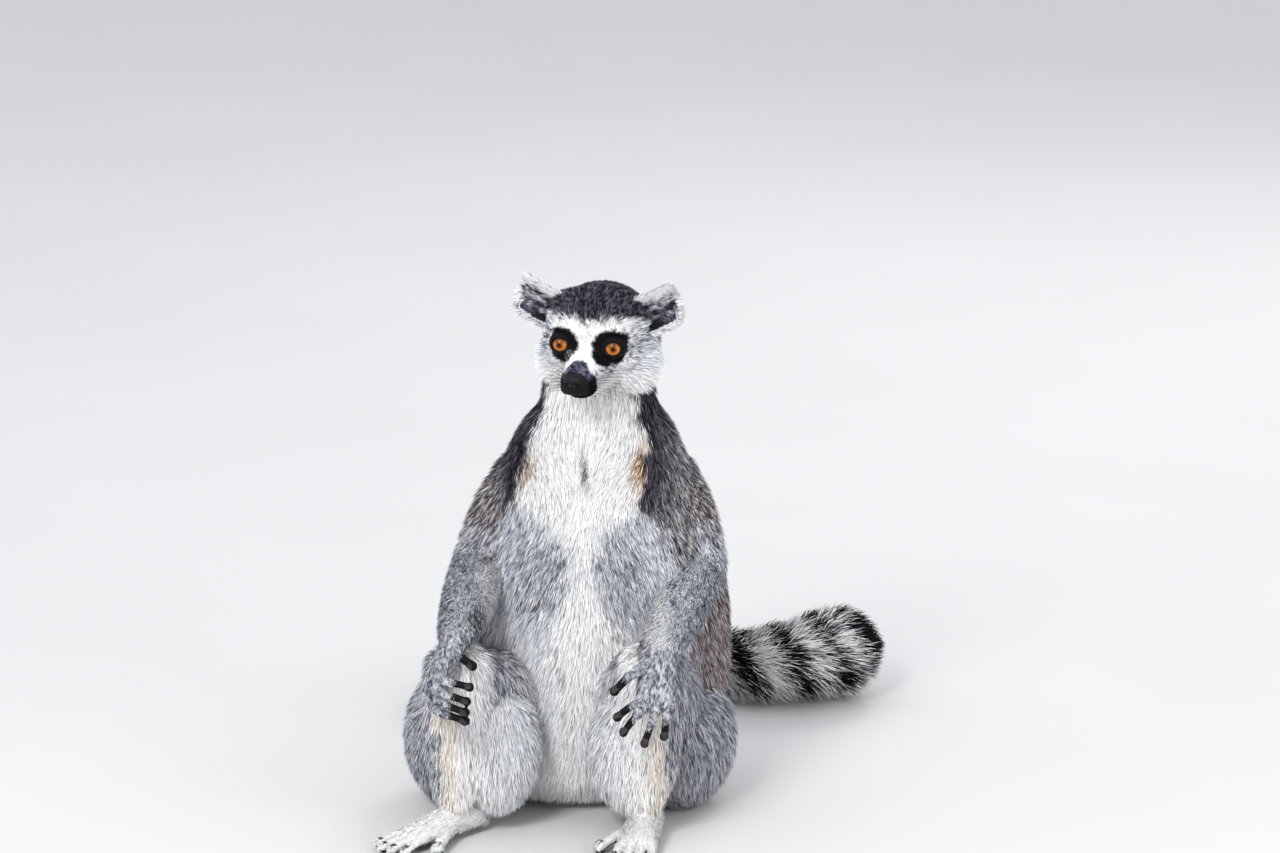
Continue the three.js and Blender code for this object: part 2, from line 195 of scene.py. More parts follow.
def loft(points, sizes, side, caps=(1, 1), facing=None, cup=0.0, sides=28, rows=32, cap_rows=7):
    """A closed egg-shaped tube along a spline, as a grid of rows of points. The point at angle a of a
    section is middle + across * wide * cos a + up * (over or under) * sin a, with up bent by cup * wide *
    cos^2 a. Past each end the section shrinks by the cosine of an angle as it moves on by its sine."""
    quarter = np.linspace(0, math.pi / 2 - POLE, cap_rows + 1)
    t = np.concatenate([np.zeros(cap_rows), np.linspace(0, 1, rows), np.ones(cap_rows)])
    past = np.concatenate([quarter[:0:-1], np.zeros(rows), quarter[1:]])
    end = np.where(np.arange(len(t)) < cap_rows, 0, 1)
    middle, size = spline(points, t), spline(sizes, t)
    step = 1e-3
    ahead, behind = np.clip(t + step, 0, 1), np.clip(t - step, 0, 1)
    tangent = unit(spline(points, ahead) - spline(points, behind))
    if facing is not None:
        tangent = np.broadcast_to(facing, tangent.shape)
    across = unit(off(side, tangent))
    up = np.cross(tangent, across)
    reach = np.array(caps)[end] * size.mean(axis=1) * np.where(end, 1, -1)
    middle = middle + tangent * (reach * np.sin(past))[:, None]
    cosine, sine = np.cos(turns(sides)), np.sin(turns(sides))
    wide, over, under = (size * np.cos(past)[:, None]).T[..., None]
    high = np.where(sine > 0, over * sine, under * sine) + cup * wide * cosine**2
    return middle[:, None] + across[:, None] * (wide * cosine)[..., None] + up[:, None] * high[..., None]


def ball(rows, sides):
    """The three shares of a ball's points, as grids of latitude by longitude"""
    latitude = np.linspace(-math.pi / 2 + POLE, math.pi / 2 - POLE, rows)[:, None]
    longitude = turns(sides)[None]
    return np.broadcast_arrays(np.cos(latitude) * np.cos(longitude), np.cos(latitude) * np.sin(longitude),
                               np.sin(latitude))


def lobe(centre, halves, turn=np.eye(3), sides=32, rows=20):
    """A ball stretched to three half sizes and turned"""
    return centre + (np.stack(ball(rows, sides), axis=-1) * halves) @ turn.T


def faces_of(grid):
    """Quads of a grid whose columns close on themselves, and one face over each end"""
    rows, sides = grid.shape[:2]
    i, j = np.meshgrid(np.arange(rows - 1), np.arange(sides), indexing="ij")
    k = (j + 1) % sides
    quads = np.stack([i * sides + j, i * sides + k, (i + 1) * sides + k, (i + 1) * sides + j], axis=-1)
    first, last = np.arange(sides)[::-1], (rows - 1) * sides + np.arange(sides)
    return quads.reshape(-1, 4).tolist() + [first.tolist(), last.tolist()]


def mesh_of_grids(name, grids):
    """One mesh in metres from closed grids, with their faces turned outwards"""
    points, faces, start = [], [], 0
    for grid in grids:
        points.append(grid.reshape(-1, 3))
        faces += [[start + i for i in face] for face in faces_of(grid)]
        start += len(points[-1])
    mesh = bpy.data.meshes.new(name)
    mesh.from_pydata((np.concatenate(points) * MM).tolist(), [], faces)
    work = bmesh.new()
    work.from_mesh(mesh)
    bmesh.ops.recalc_face_normals(work, faces=work.faces)
    work.to_mesh(mesh)
    work.free()
    mesh.shade_smooth()
    return mesh


def mesh_of_triangles(name, points, faces):
    mesh = bpy.data.meshes.new(name)
    mesh.vertices.add(len(points))
    mesh.loops.add(faces.size)
    mesh.polygons.add(len(faces))
    mesh.vertices.foreach_set("co", flat(points * MM))
    mesh.loops.foreach_set("vertex_index", flat(faces, np.int32))
    mesh.polygons.foreach_set("loop_start", np.arange(0, faces.size, 3, dtype=np.int32))
    mesh.update(calc_edges=True)
    mesh.shade_smooth()
    return mesh


def flat(values, kind=np.float32):
    return values.astype(kind).ravel()


def points_of(mesh):
    points = np.empty(len(mesh.vertices) * 3, np.float32)
    mesh.vertices.foreach_get("co", points)
    return points.reshape(-1, 3).astype(float) / MM


def triangles_of(mesh):
    mesh.calc_loop_triangles()
    corners = np.empty(len(mesh.loop_triangles) * 3, np.int32)
    mesh.loop_triangles.foreach_get("vertices", corners)
    return corners.reshape(-1, 3)


def modified(mesh, kind, group=None, **settings):
    """The mesh after one modifier, with a vertex group of the given weights if the modifier reads one"""
    worker = bpy.data.objects.new("worker", mesh)
    bpy.context.scene.collection.objects.link(worker)
    if group is not None:
        chosen = worker.vertex_groups.new(name="chosen")
        levels = np.round(group, 1)
        for level in np.unique(levels[levels > 0]):
            chosen.add(np.nonzero(levels == level)[0].tolist(), float(level), "REPLACE")
        settings["vertex_group"] = chosen.name
    modifier = worker.modifiers.new("work", kind)
    for name, value in settings.items():
        setattr(modifier, name, value)
    result = bpy.data.meshes.new_from_object(worker.evaluated_get(bpy.context.evaluated_depsgraph_get()))
    bpy.data.objects.remove(worker)
    return result


class Net:
    """Which points are joined by an edge of a triangle, to average values over neighbours"""

    def __init__(self, triangles, count):
        self.to = np.concatenate([triangles.ravel(), triangles.ravel()])
        self.near = np.concatenate([triangles[:, [1, 2, 0]].ravel(), triangles[:, [2, 0, 1]].ravel()])
        self.count = count
        self.degree = np.maximum(np.bincount(self.to, minlength=count), 1)

    def average(self, values):
        columns = [np.bincount(self.to, column[self.near], self.count) / self.degree for column in values.T]
        return np.stack(columns, axis=1)

    def soften(self, values, times, share=0.6):
        for _ in range(times):
            values = mix(values, self.average(values), share)
        return values


class Places:
    """Finds the nearest of a set of places"""

    def __init__(self, places):
        self.tree = kdtree.KDTree(len(places))
        for number, place in enumerate(places):
            self.tree.insert(place, number)
        self.tree.balance()

    def nearest(self, points):
        return np.array([self.tree.find(point)[1] for point in points], int)


# ---- The body's forms under the coat --------------------------------------------------------------------

yaw, pitch = math.radians(HEAD_YAW), math.radians(HEAD_PITCH)
turn_right = np.array([(math.cos(yaw), math.sin(yaw), 0), (-math.sin(yaw), math.cos(yaw), 0), (0, 0, 1)])
tip_down = np.array([
    (1, 0, 0), (0, math.cos(pitch), -math.sin(pitch)), (0, math.sin(pitch), math.cos(pitch))])
HEAD_TURN = turn_right @ tip_down
HEAD_SIDE, HEAD_FORWARD, HEAD_UP = HEAD_TURN[:, 0], -HEAD_TURN[:, 1], HEAD_TURN[:, 2]


def from_head(places):
    """World places from places given as forward, sideways and up in the head"""
    forward, sideways, up = np.moveaxis(np.asarray(places, float), -1, 0)
    return HEAD_CENTRE + np.stack([sideways, -forward, up], axis=-1) @ HEAD_TURN.T


def into_head(points):
    x, y, z = np.moveaxis((points - HEAD_CENTRE) @ HEAD_TURN, -1, 0)
    return -y, x, z


def head_loft(table, **options):
    table = np.array(table, float)
    middles = from_head(np.stack([table[:, 0], 0 * table[:, 0], table[:, 1]], axis=1))
    return loft(middles, table[:, 2:], HEAD_SIDE, facing=HEAD_FORWARD, **options)


def head_forms():
    """Skull, upper muzzle and lower jaw as rows of forward, up, half width, above and below, then on each
    side a cheek, the shoulder of the cap, a brow, a cheekbone and the lip's pad."""
    skull = [(-34, 0, 20, 20, 18), (-20, 0, 31, 31, 26), (-4, 0, 36, 34.5, 30), (10, -1, 35, 32.5, 28),
             (20, -2, 29, 29, 24), (26, -5, 21.5, 22, 20)]
    upper = [(10, -6, 21, 17, 14), (24, -8.5, 16.5, 14, 11), (38, -11.5, 13.2, 11.5, 9.5),
             (47, -13, 12, 9.6, 9), (53, -13.8, 10.4, 7.6, 8)]
    lower = [(4, -22, 19, 9, 9), (24, -23, 12.5, 6, 4.8), (38, -23.5, 9.8, 5, 3.4), (46, -23.3, 7.6, 4, 3)]
    forms = [head_loft(skull, caps=(0.45, 0.2), sides=72, rows=30),
             head_loft(upper, caps=(0.5, 0.45), sides=48, rows=28),
             head_loft(lower, caps=(0.5, 0.5), sides=36, rows=24)]
    small = {"sides": 24, "rows": 14}
    for hand in SIDES.values():
        for forward, sideways, up, halves, grain in (
                (4, 20.5, -14.5, (19.5, 18, 18.5), {}), (-2, 19.5, 17, (17, 14, 13.5), small),
                (22.5, 17, 14.5, (9, 5, 4.5), small), (19, 21, -6, (10, 9, 7), small),
                (46, 6.5, -17.5, (6.2, 9, 6), small)):
            forms.append(lobe(from_head((forward, hand * sideways, up)), halves, HEAD_TURN, **grain))
    return forms


def digit_forms(start, end, lift, half, side, pad):
    """A tapering finger or toe that bends at its middle, and the ball of its tip"""
    middle = (start + end) / 2 + lift
    sizes = np.array([(1, 1, 1), (0.95, 0.95, 0.95), (0.86, 0.86, 0.86)]) * half
    finger = loft([start, middle, end], sizes, side, caps=(0.5, 1), sides=16, rows=16, cap_rows=4)
    outward = unit(end - middle)
    return [finger, lobe(end + outward * 0.6, (pad, pad, pad * 1.05), sides=14, rows=10)]


def hand_forms(pose):
    knuckles, wrist, lift = pose["knuckles"], pose["wrist"], pose["knuckle_lift"]
    row = unit(knuckles[0] - knuckles[1])
    root = knuckles.mean(axis=0)
    palm = loft([wrist, mix(wrist, root, 0.5), root], [(11, 8.6, 8.6), (12.2, 7.5, 7), (13, 5.6, 5.2)], row,
                caps=(0.5, 0.6), rows=20, sides=32)
    digits = digit_forms(*pose["thumb"], lift, 3.3, row, 3.5)
    for i, tip in enumerate(pose["fingertips"]):
        digits += digit_forms(mix(*knuckles, (i + 0.15) / 3.3), tip, lift, 2.9, row, 3.3)
    return [palm], digits


def foot_place(hand, forward, inward, up):
    pose = POSE[hand]
    turn = math.radians(pose["toes_turn"])
    x, y, _ = pose["ankle"]
    return np.array([x + hand * (forward * math.sin(turn) - inward * math.cos(turn)),
                     y - forward * math.cos(turn) - inward * math.sin(turn), up])


def toe_ends(hand):
    """Root and tip of each toe, the great toe last"""
    ends = []
    for i, length in enumerate(TOE_LENGTHS):
        apart = (1.5 - i) * TOE_GAP
        ends.append((foot_place(hand, TOE_ROOT, apart * 0.85, 6.5),
                     foot_place(hand, TOE_START + length, apart * 1.15, 4.4)))
    return ends + [(foot_place(hand, 10, 8, 8), foot_place(hand, 38, 25, 5))]


def foot_forms(hand):
    sole = [foot_place(hand, forward, 0, SOLE_HEIGHT) for forward in (-20, 8, 36)]
    foot = loft(sole, [(10, 10.5, 8), (12, 12, 8.2), (13, 7, 7.6)], SIDEWAYS, caps=(0.7, 0.5), rows=28)
    *small, great = toe_ends(hand)
    toes = []
    for ends in small:
        toes += digit_forms(*ends, (0, 0, 1.6), 3.2, SIDEWAYS, 3.6)
    return [foot], toes + digit_forms(*great, (0, 0, 1.5), 4.0, SIDEWAYS, 4.4)


def limb_forms(hand):
    """Forms of one side's limbs by the part they belong to; a bone's rows are its place along the bone, half
    width, depth in front and depth behind."""
    pose = POSE[hand]

    def bone(part, *profile, **options):
        start, end = (pose[joint] for joint in BONES[part])
        profile = np.array(profile)
        return loft(mix(start, end, profile[:, :1]), profile[:, 1:], SIDEWAYS, **options)

    palm, fingers = hand_forms(pose)
    foot, toes = foot_forms(hand)
    haunch = pose["hip"] + (hand * 33, -22, 4)
    calf = mix(pose["knee"], pose["ankle"], 0.64) + (-hand * pose["calf_inward"], 16, 0)
    return {
        "arm": [bone("arm", (0, 18, 19, 19), (0.35, 21, 18, 19.5), (0.7, 19.5, 16, 19), (1, 16.5, 15.5, 17),
                     caps=(0.8, 0.8))],
        "forearm": [bone("forearm", (0, 16, 17, 16), (0.3, 17, 17, 16), (0.65, 15, 13, 12.5),
                         (1, 11, 8.8, 8.8), caps=(0.8, 0.5))],
        "hand": palm,
        "digits": fingers,
        "thigh": [bone("thigh", (0, 37, 35, 41), (0.35, 38, 33, 39), (0.7, 33, 25, 34), (0.95, 17, 16, 21),
                       caps=(0.7, 0.5), sides=48, rows=44),
                  lobe(haunch, (36, 52, 46), sides=56, rows=40)],
        "shin": [bone("shin", (0, 20, 20, 18), (0.3, 21, 19, 26), (0.65, 18, 14.5, 21.5), (1, 9.5, 9.5, 11),
                      caps=(0.8, 0.5), sides=36, rows=40),
                 lobe(calf, (27.5, 27, 44), sides=44, rows=32)],
        "foot": foot,
        "toes": toes,
    }


PARTS = ["head", "trunk", "tail"] + [
    f"{part}_{side}" for side, part in product(
        SIDES, ("arm", "forearm", "hand", "digits", "thigh", "shin", "foot", "toes"))]


def part_and_hand(number):
    """Plain name of a part from its number, and -1 for the animal's right side or 1 for its left"""
    name, _, side = PARTS[number].partition("_") if number < len(PARTS) else ("ear", "", "")
    return name, SIDES.get(side, 1)


def belonging(numbers, *names):
    """Which of the part numbers belong to parts of the given plain names"""
    return np.isin(numbers, [i for i in range(len(PARTS)) if part_and_hand(i)[0] in names])


def flesh():
    """Every form of the body, as pairs of its part's number and its grid"""
    trunk = TORSO.copy()
    trunk[:, 3:] -= TORSO_COAT
    trunk[-1, 3:] += 3
    trunk[0, 2] += 10
    forms = {"head": head_forms(),
             "trunk": [loft(trunk[:, :3], trunk[:, 3:], -SIDEWAYS, (0.2, 0.2), UP, sides=110, rows=90)],
             "tail": [loft(TAIL_ROUTE, (TAIL_HALF - TAIL_COAT)[:, None].repeat(3, 1), UP, rows=180)]}
    for side, hand in SIDES.items():
        for part, grids in limb_forms(hand).items():
            forms[f"{part}_{side}"] = grids
    return [(PARTS.index(part), grid) for part, grids in forms.items() for grid in grids]


def nearest_part(points, forms):
    """For each point, the part whose form has the nearest grid point"""
    numbers = np.concatenate([np.full(grid[..., 0].size, number) for number, grid in forms])
    places = Places(np.concatenate([grid.reshape(-1, 3) for _, grid in forms]))
    return numbers[places.nearest(points)]


# ---- Markings, shared by skin and coat ------------------------------------------------------------------


def srgb(*values):
    """Linear colour from the shares that a screen shows"""
    return np.array([v / 12.92 if v <= 0.04045 else ((v + 0.055) / 1.055) ** 2.4 for v in values])


WHITE = srgb(0.97, 0.97, 0.965)
CREAM = srgb(0.955, 0.935, 0.89)
PALE_GREY = srgb(0.83, 0.845, 0.88)
GREY = srgb(0.58, 0.58, 0.62)
BROWN_GREY = srgb(0.455, 0.40, 0.42)
CHARCOAL = srgb(0.18, 0.17, 0.225)
BLACK = srgb(0.06, 0.055, 0.07)
TAN = srgb(0.90, 0.68, 0.46)
RUSSET = srgb(0.56, 0.42, 0.39)
SNOUT = srgb(0.245, 0.245, 0.335)
BARE_SKIN = srgb(0.075, 0.07, 0.075)
GRIZZLED = mix(GREY, PALE_GREY, 0.35)

EYE_PATCH = 12.7  # radius of the black round an eye
MUZZLE_EDGE = 40.5  # how far ahead of the head's centre the black of the muzzle starts
CAP_EDGE = 21.5  # how far above it the cap ends over the brow

TAIL_RING = 31  # length of one white and one black ring together
TAIL_WHITE = 0.5  # share of it that is white
TAIL_TIP = -2.6  # where the last white ring would end, ahead of the middle line's end
TAIL_BLACK = 4.5  # how far the black of the tip reaches
TAIL_SLANT = 0.42  # how far the rings lean back over its top

# Creases in the loose skin of belly and arms, sunk into the skin and darkened with painted shade: x and z of
# both ends, half width and depth
CREASES = np.array([
    (-14, 158, -34, 145, 1.8, 3.2), (26, 158, 25, 148, 1.5, 2.2), (25, 147, 38, 141, 1.5, 2.2),
    (24, 128, 38, 132, 1.4, 2.0), (-19, 124, -6, 121, 1.2, 1.4), (-3, 110, -5, 96, 1.4, 1.8),
    (-21, 204, -29, 200, 1.2, 1.4), (54, 222, 77, 224, 1.4, 1.8), (56, 211, 80, 200, 1.4, 1.6),
    (63, 187, 81, 185, 1.5, 2.0), (63, 176, 80, 174.5, 1.6, 2.2), (-67, 187, -55, 189, 1.3, 1.6),
    (-65, 181, -52, 178, 1.5, 2.0)])
# By height: half width of the pale front of neck and trunk, and its middle
FRONT = np.array([
    (0, 74, 8), (60, 72, 12), (120, 68, 14), (165, 64, 14), (195, 56, 10), (211, 47, 6.5), (221, 38, 4),
    (232, 40, 8.5), (246, 40, 10), (258, 37.5, 12.5), (268, 35, 15.5), (275, 31, 16), (285, 27.5, 16.5),
    (300, 27, 17), (330, 31, 19)])
# By height: half width of the pure white down the belly, and by height again its middle
BELLY_WHITE = np.array([
    (0, 40), (30, 34), (60, 22), (110, 24), (140, 20), (161, 12), (176, 6), (190, 9), (204, 17), (216, 32),
    (230, 50)])
BELLY_MIDDLE = np.array([(60, 16), (120, 16), (160, 10), (200, 9)])
BREAST_LINE = (11, 243)  # x and z of the thin dark line where the hair of the breast parts


def painted(base, *layers):
    """A colour under layers of others, each given with the share of it that shows"""
    for colour, share in layers:
        base = mix(base, colour, np.clip(share, 0, 1)[:, None])
    return base


def by_height(table, z, column=1):
    return np.interp(z, table[:, 0], table[:, column])


def creased(points):
    """How far into a crease each place of the front lies: along a segment, a bell across it of its half
    width, fading past both its ends"""
    x, y, z = points.T
    share = np.zeros(len(points))
    for x0, z0, x1, z1, half, depth in CREASES:
        start, way = np.array([x0, z0]), np.array([x1 - x0, z1 - z0])
        length = np.hypot(*way)
        way = way / length
        offset = np.stack([x, z], axis=1) - start
        past = offset @ way
        aside = offset @ np.array([-way[1], way[0]]) + 0.9 * np.sin(past * 0.45)
        inside = ramp(-2, 4, past) * ramp(length + 2, length - 4, past)
        share = np.maximum(share, depth * inside * bell(aside / half))
    return share * ramp(10, -10, y)


def eye_patch(forward, sideways, up):
    """How deep a place lies in the black patch round an eye: an oval drawn out a little towards the nose"""
    across = np.abs(sideways) - EYE_PLACE[1]
    high = up - EYE_PLACE[2]
    ahead = 1.2 * np.clip(forward - 29, 0, None)
    wide, tall = across * np.where(across < 0, 0.92, 1.3), high * np.where(high < 0, 0.98, 1.0)
    drawn = 2.4 * np.exp(-((across + 8) ** 2 + (high + 8) ** 2) / 22)
    return np.where(forward > 8, EYE_PATCH + drawn - np.sqrt(wide**2 + tall**2 + ahead**2), -10)


def muzzle_dark(forward, sideways, up):
    """How far ahead a place lies of the edge of the black muzzle, which starts in a narrow tongue on its
    ridge and runs back along the mouth's corners"""
    aside = np.abs(sideways)
    edge = MUZZLE_EDGE + 4.0 * bell((aside - 8.5) / 3) + 2.6 * ramp(4, 12, aside)
    corner = 3.2 * bell((up + 19.5) / 2.2) * ramp(5, 9, aside)
    return forward - edge + 2.5 * ramp(-16, -20, up) - 9 * ramp(-24.5, -27, up) + corner


def head_markings(points):
    """White, greyer at the sides, with a dark cap that ends in a point over the brow and low at the nape"""
    forward, sideways, up = into_head(points)
    aside = np.abs(sideways)
    ragged = 1.6 * noise(points, 5, 1) + 1.2 * noise(points, 1.7, 2)
    brow = CAP_EDGE - 0.55 * np.clip(14 - forward, 0, 60) - 2.2 * bell(sideways / 5)
    nape = -8 - 0.5 * np.clip(-8 - forward, 0, 60)
    cap = ramp(-3.5, 3, up - mix(brow, nape, ramp(-2, -14, forward)) + 1.5 * ragged)
    temple = bell((aside - 30) / 6, (up - 5) / 9) * (forward > -6)
    under_eye = bell((aside - 15) / 6, (up + 11) / 5.5) * ramp(20, 28, forward)
    snout = mix(BLACK, SNOUT, (ramp(-13, -7, up) * ramp(13, 8, aside))[:, None])
    return painted(
        WHITE, (PALE_GREY, 0.55 * ramp(24, 34, aside) * ramp(-26, -8, up)), (GREY, 0.9 * temple),
        (CHARCOAL, cap), (GREY, 0.7 * under_eye),
        (BLACK, ramp(-1.0, 1.2, eye_patch(forward, sideways, up) + 0.7 * ragged)),
        (snout, ramp(-0.9, 1.1, muzzle_dark(forward, sideways, up) + 0.35 * ragged)))


def trunk_markings(points):
    """Brown-grey behind, with a russet flank and a charcoal collar, and a pale front: white down its middle
    and on the breast, grey beside it, tan at the armpits"""
    x, y, z = points.T
    middle = by_height(FRONT, z, 2)
    ahead = by_height(TORSO[:, [2, 1]], z) - y
    aside = np.abs(x - middle)
    ragged = 3.0 * noise(points, 9, 3) + 2.6 * noise(points, 3.5, 4)
    front = np.minimum(by_height(FRONT, z) - aside, (ahead + 22) * 0.8) + ragged

    near = bell(np.clip(-front, 0, 60) / 22) * ramp(200, 222, z)
    collar = np.maximum(near, ramp(248, 282, z + 10 * noise(points, 16, 5) + 0.1 * ahead))
    back = painted(mix(BROWN_GREY, GREY, 0.25),
                   (RUSSET, 0.55 * ramp(185, 120, z) * ramp(60, 84, aside) * ramp(20, 70, z)),
                   (CHARCOAL, collar))

    away = np.abs(x - by_height(BELLY_MIDDLE, z)) + 4 * noise(points, 9, 6)
    beside = ramp(0, 10, away - by_height(BELLY_WHITE, z)) * ramp(228, 205, z)
    beside *= mix(0.5, 1.0, ramp(130, 160, z))
    right = x < middle
    armpit = bell((front - 2.5) / 4, (z - mix(246, 240, right)) / mix(15, 10, right))
    pale = painted(WHITE, (PALE_GREY, beside), (GREY, 0.85 * bell((away - 27) / 16, (z - 176) / 24)),
                   (TAN, mix(1.25, 0.85, right) * armpit))

    line_x, line_z = BREAST_LINE
    line = 1.3 * bell((x - line_x + 0.1 * (z - line_z)) / 1.6, (z - line_z) / 9) * (ahead > 0)
    return painted(back, (pale, ramp(-1.5, 2.0, front)), (BLACK, line))


def limb_markings(points, part, hand):
    """Grizzled grey outside and white inside, on arms and legs"""
    if part in ("hand", "digits"):
        return GRIZZLED
    if part in ("foot", "toes"):
        return WHITE
    x, y, z = points.T
    ragged = noise(points, 9, 7)
    pose = POSE[hand]
    middle = np.mean([pose[joint][0] for joint in BONES[part]])
    if part == "arm":
        base = mix(mix(BROWN_GREY, GREY, 0.1), mix(GREY, PALE_GREY, 0.7), ramp(205, 178, z)[:, None])
        return painted(base, (CHARCOAL, 0.7 * ramp(212, 240, z + 8 * ragged)))
    if part == "forearm":
        gland = bell((x - pose["wrist"][0] + hand * 11) / 3, (z - pose["wrist"][2] - 6) / 8)
        return painted(mix(GREY, PALE_GREY, 0.85),
                       (WHITE, 0.75 * ramp(2, 12, hand * (middle - x) + 4 * ragged)), (BLACK, 0.85 * gland))
    if part == "thigh":
        inner = ramp(0, 26, hand * (pose["hip"][0] + hand * 10 - x) + 6 * ragged)
        return painted(GRIZZLED, (WHITE, 0.7 * inner), (RUSSET, 0.25 * ramp(-10, 40, y) * ramp(70, 40, z)))
    outwards = hand * (x - middle) + 6 * ragged
    return painted(WHITE, (mix(CREAM, TAN, 0.12), 0.8 * bell((outwards - 7) / 7)),
                   (GRIZZLED, ramp(8, 17, outwards)), (PALE_GREY, 0.45 * ramp(-4, -40, outwards)))


tail_middles = spline(TAIL_ROUTE, np.linspace(0, 1, 600))
tail_arc = np.concatenate([[0], np.cumsum(np.linalg.norm(np.diff(tail_middles, axis=0), axis=1))])
tail_heading = unit(np.gradient(tail_middles, axis=0))
tail_places = Places(tail_middles)


def tail_markings(points):
    """Rings of white and black that lean back over the top, a black tip, and grey at the root. Near the tip
    the white is dimmed on the underside as painted shade.
    """
    nearest = tail_places.nearest(points)
    above = points[:, 2] - tail_middles[nearest, 2]
    past_end = np.clip((points - tail_middles[-1]) @ tail_heading[-1], 0, 60)
    past_end *= nearest == len(tail_middles) - 1
    from_tip = tail_arc[-1] + TAIL_HALF[-1] * 0.6 - tail_arc[nearest] - past_end
    from_tip -= TAIL_SLANT * above * ramp(250, 120, from_tip)
    from_tip += 3.2 * noise(points, 9, 8) + 2.2 * noise(points, 3, 9)
    ring = ((from_tip - TAIL_TIP) / TAIL_RING) % 1
    white = ramp(0, 0.1, ring) * ramp(TAIL_WHITE + 0.1, TAIL_WHITE, ring)
    white *= ramp(TAIL_BLACK - 1, TAIL_BLACK + 1, from_tip)
    # painted shade: near the tip the white is dimmed on the underside of the tail
    low = ramp(4, -10, above) * ramp(TAIL_TIP + TAIL_RING, TAIL_TIP, from_tip)
    return painted(BLACK, (WHITE, white * (1 - 0.5 * low)),
                   (mix(GREY, PALE_GREY, 0.4), ramp(tail_arc[-1] - 40, tail_arc[-1] + 5, from_tip)))


def markings(points, numbers):
    """Colour of each place on the body, from the part that it belongs to, with painted shade darkening the
    creases
    """
    colours = np.empty((len(points), 3))
    of_parts = {"head": head_markings, "trunk": trunk_markings, "tail": tail_markings}
    for number in np.unique(numbers):
        chosen = numbers == number
        part, hand = part_and_hand(number)
        here = points[chosen]
        colours[chosen] = of_parts[part](here) if part in of_parts else limb_markings(here, part, hand)
    # painted shade: the creases are darkened towards black
    return painted(colours, (BLACK, 0.3 * creased(points)))


# ---- Lie and length of the coat -------------------------------------------------------------------------

# Length of the hair, how steeply it rises from the skin in degrees, and width of a tuft
HAIR = {"trunk": (14.5, 44, 0.66), "tail": (25, 56, 0.72), "arm": (12, 50, 0.58), "forearm": (9.5, 46, 0.5),
        "hand": (5, 24, 0.45), "digits": (2.6, 18, 0.36), "thigh": (14.5, 44, 0.66), "shin": (12, 40, 0.6),
        "foot": (6.5, 22, 0.48), "toes": (4, 16, 0.4)}
WHORL = np.array([9.0, 233.0])  # x and z of the place on the breast that the hair runs in to
PARTING = (44, 0, -4)  # place in the head that its hair lies away from
BARE_FINGER, BARE_TOE, BARE_FADE = 9, -2, 7  # how far the skin is bare from a tip, and over how much more
BARE_NOSE = 53.5  # how far ahead in the head


def head_hair(points):
    """Short on muzzle and round the eyes, longest on cheeks, nape and throat, upright on the crown"""
    forward, sideways, up = into_head(points)
    aside = np.abs(sideways)
    cheek = ramp(20, 30, aside) * ramp(8, -4, up) * ramp(30, 14, forward)
    crown = ramp(14, 22, up) * ramp(24, 14, forward)
    length = 9.5
    for target, share in ((4.6, ramp(12, 26, forward)), (13.5, cheek), (7.0, crown),
                          (2.3, ramp(30, 40, forward)), (1.4, ramp(40, 46, forward))):
        length = mix(length, target, share)
    near_eye = np.linalg.norm(np.stack([forward, aside, up], axis=1) - EYE_PLACE, axis=1)
    length = mix(1.5, length, ramp(10, 17, near_eye))
    rise = mix(30.0, 14.0, ramp(8, 2, length)) + 18 * cheek + 30 * crown
    return np.stack([length, rise, np.clip(0.26 + 0.03 * length, 0.3, 0.6)], axis=1)


def breast_heading(x, z):
    """In to the whorl from above and from both sides, and out in a fan below it, as shares of x and z"""
    dx, dz = WHORL[0] - x, WHORL[1] - z
    reach = np.hypot(dx, dz)
    inwards = ramp(-14, 4, -dz) * ramp(62, 38, reach)
    above = ramp(20, 60, -dz)
    fan = ramp(-2, -30, -dz)
    aside = dx * (0.010 * above - 0.018 * fan * ramp(60, 10, np.abs(dx)))
    down = np.stack([aside, -np.ones_like(x)], axis=1)
    towards = np.stack([dx, np.minimum(dz, -2)], axis=1) / np.maximum(reach, 4)[:, None]
    return mix(down, towards, inwards[:, None])


def heading(points, number):
    """Which way the hair lies, before it is laid on the skin"""
    name, hand = part_and_hand(number)
    pose = POSE[hand]
    x, y, z = points.T
    if name == "head":
        away = unit(points - from_head(PARTING))
        return unit(away - 0.25 * UP * ramp(30, 0, into_head(points)[0])[:, None])
    if name == "trunk":
        front = ramp(6, -8, y - by_height(TORSO[:, [2, 1]], z))[:, None]
        sideways, upwards = mix(np.array([0.0, -1.0]), breast_heading(x, z), front).T
        return unit(np.stack([sideways, 0 * x, upwards], axis=1))
    if name == "tail":
        return tail_heading[tail_places.nearest(points)]
    if name == "thigh":
        way = np.array([0.25 * hand, -0.35, -1.0])
    elif name in ("foot", "toes"):
        way = foot_place(hand, 1, 0, 0) - foot_place(hand, 0, 0, 0)
    elif name in BONES:
        start, end = BONES[name]
        way = pose[end] - pose[start]
    else:
        way = pose["fingertips"].mean(axis=0) - pose["wrist"]
    return np.broadcast_to(unit(way), points.shape)


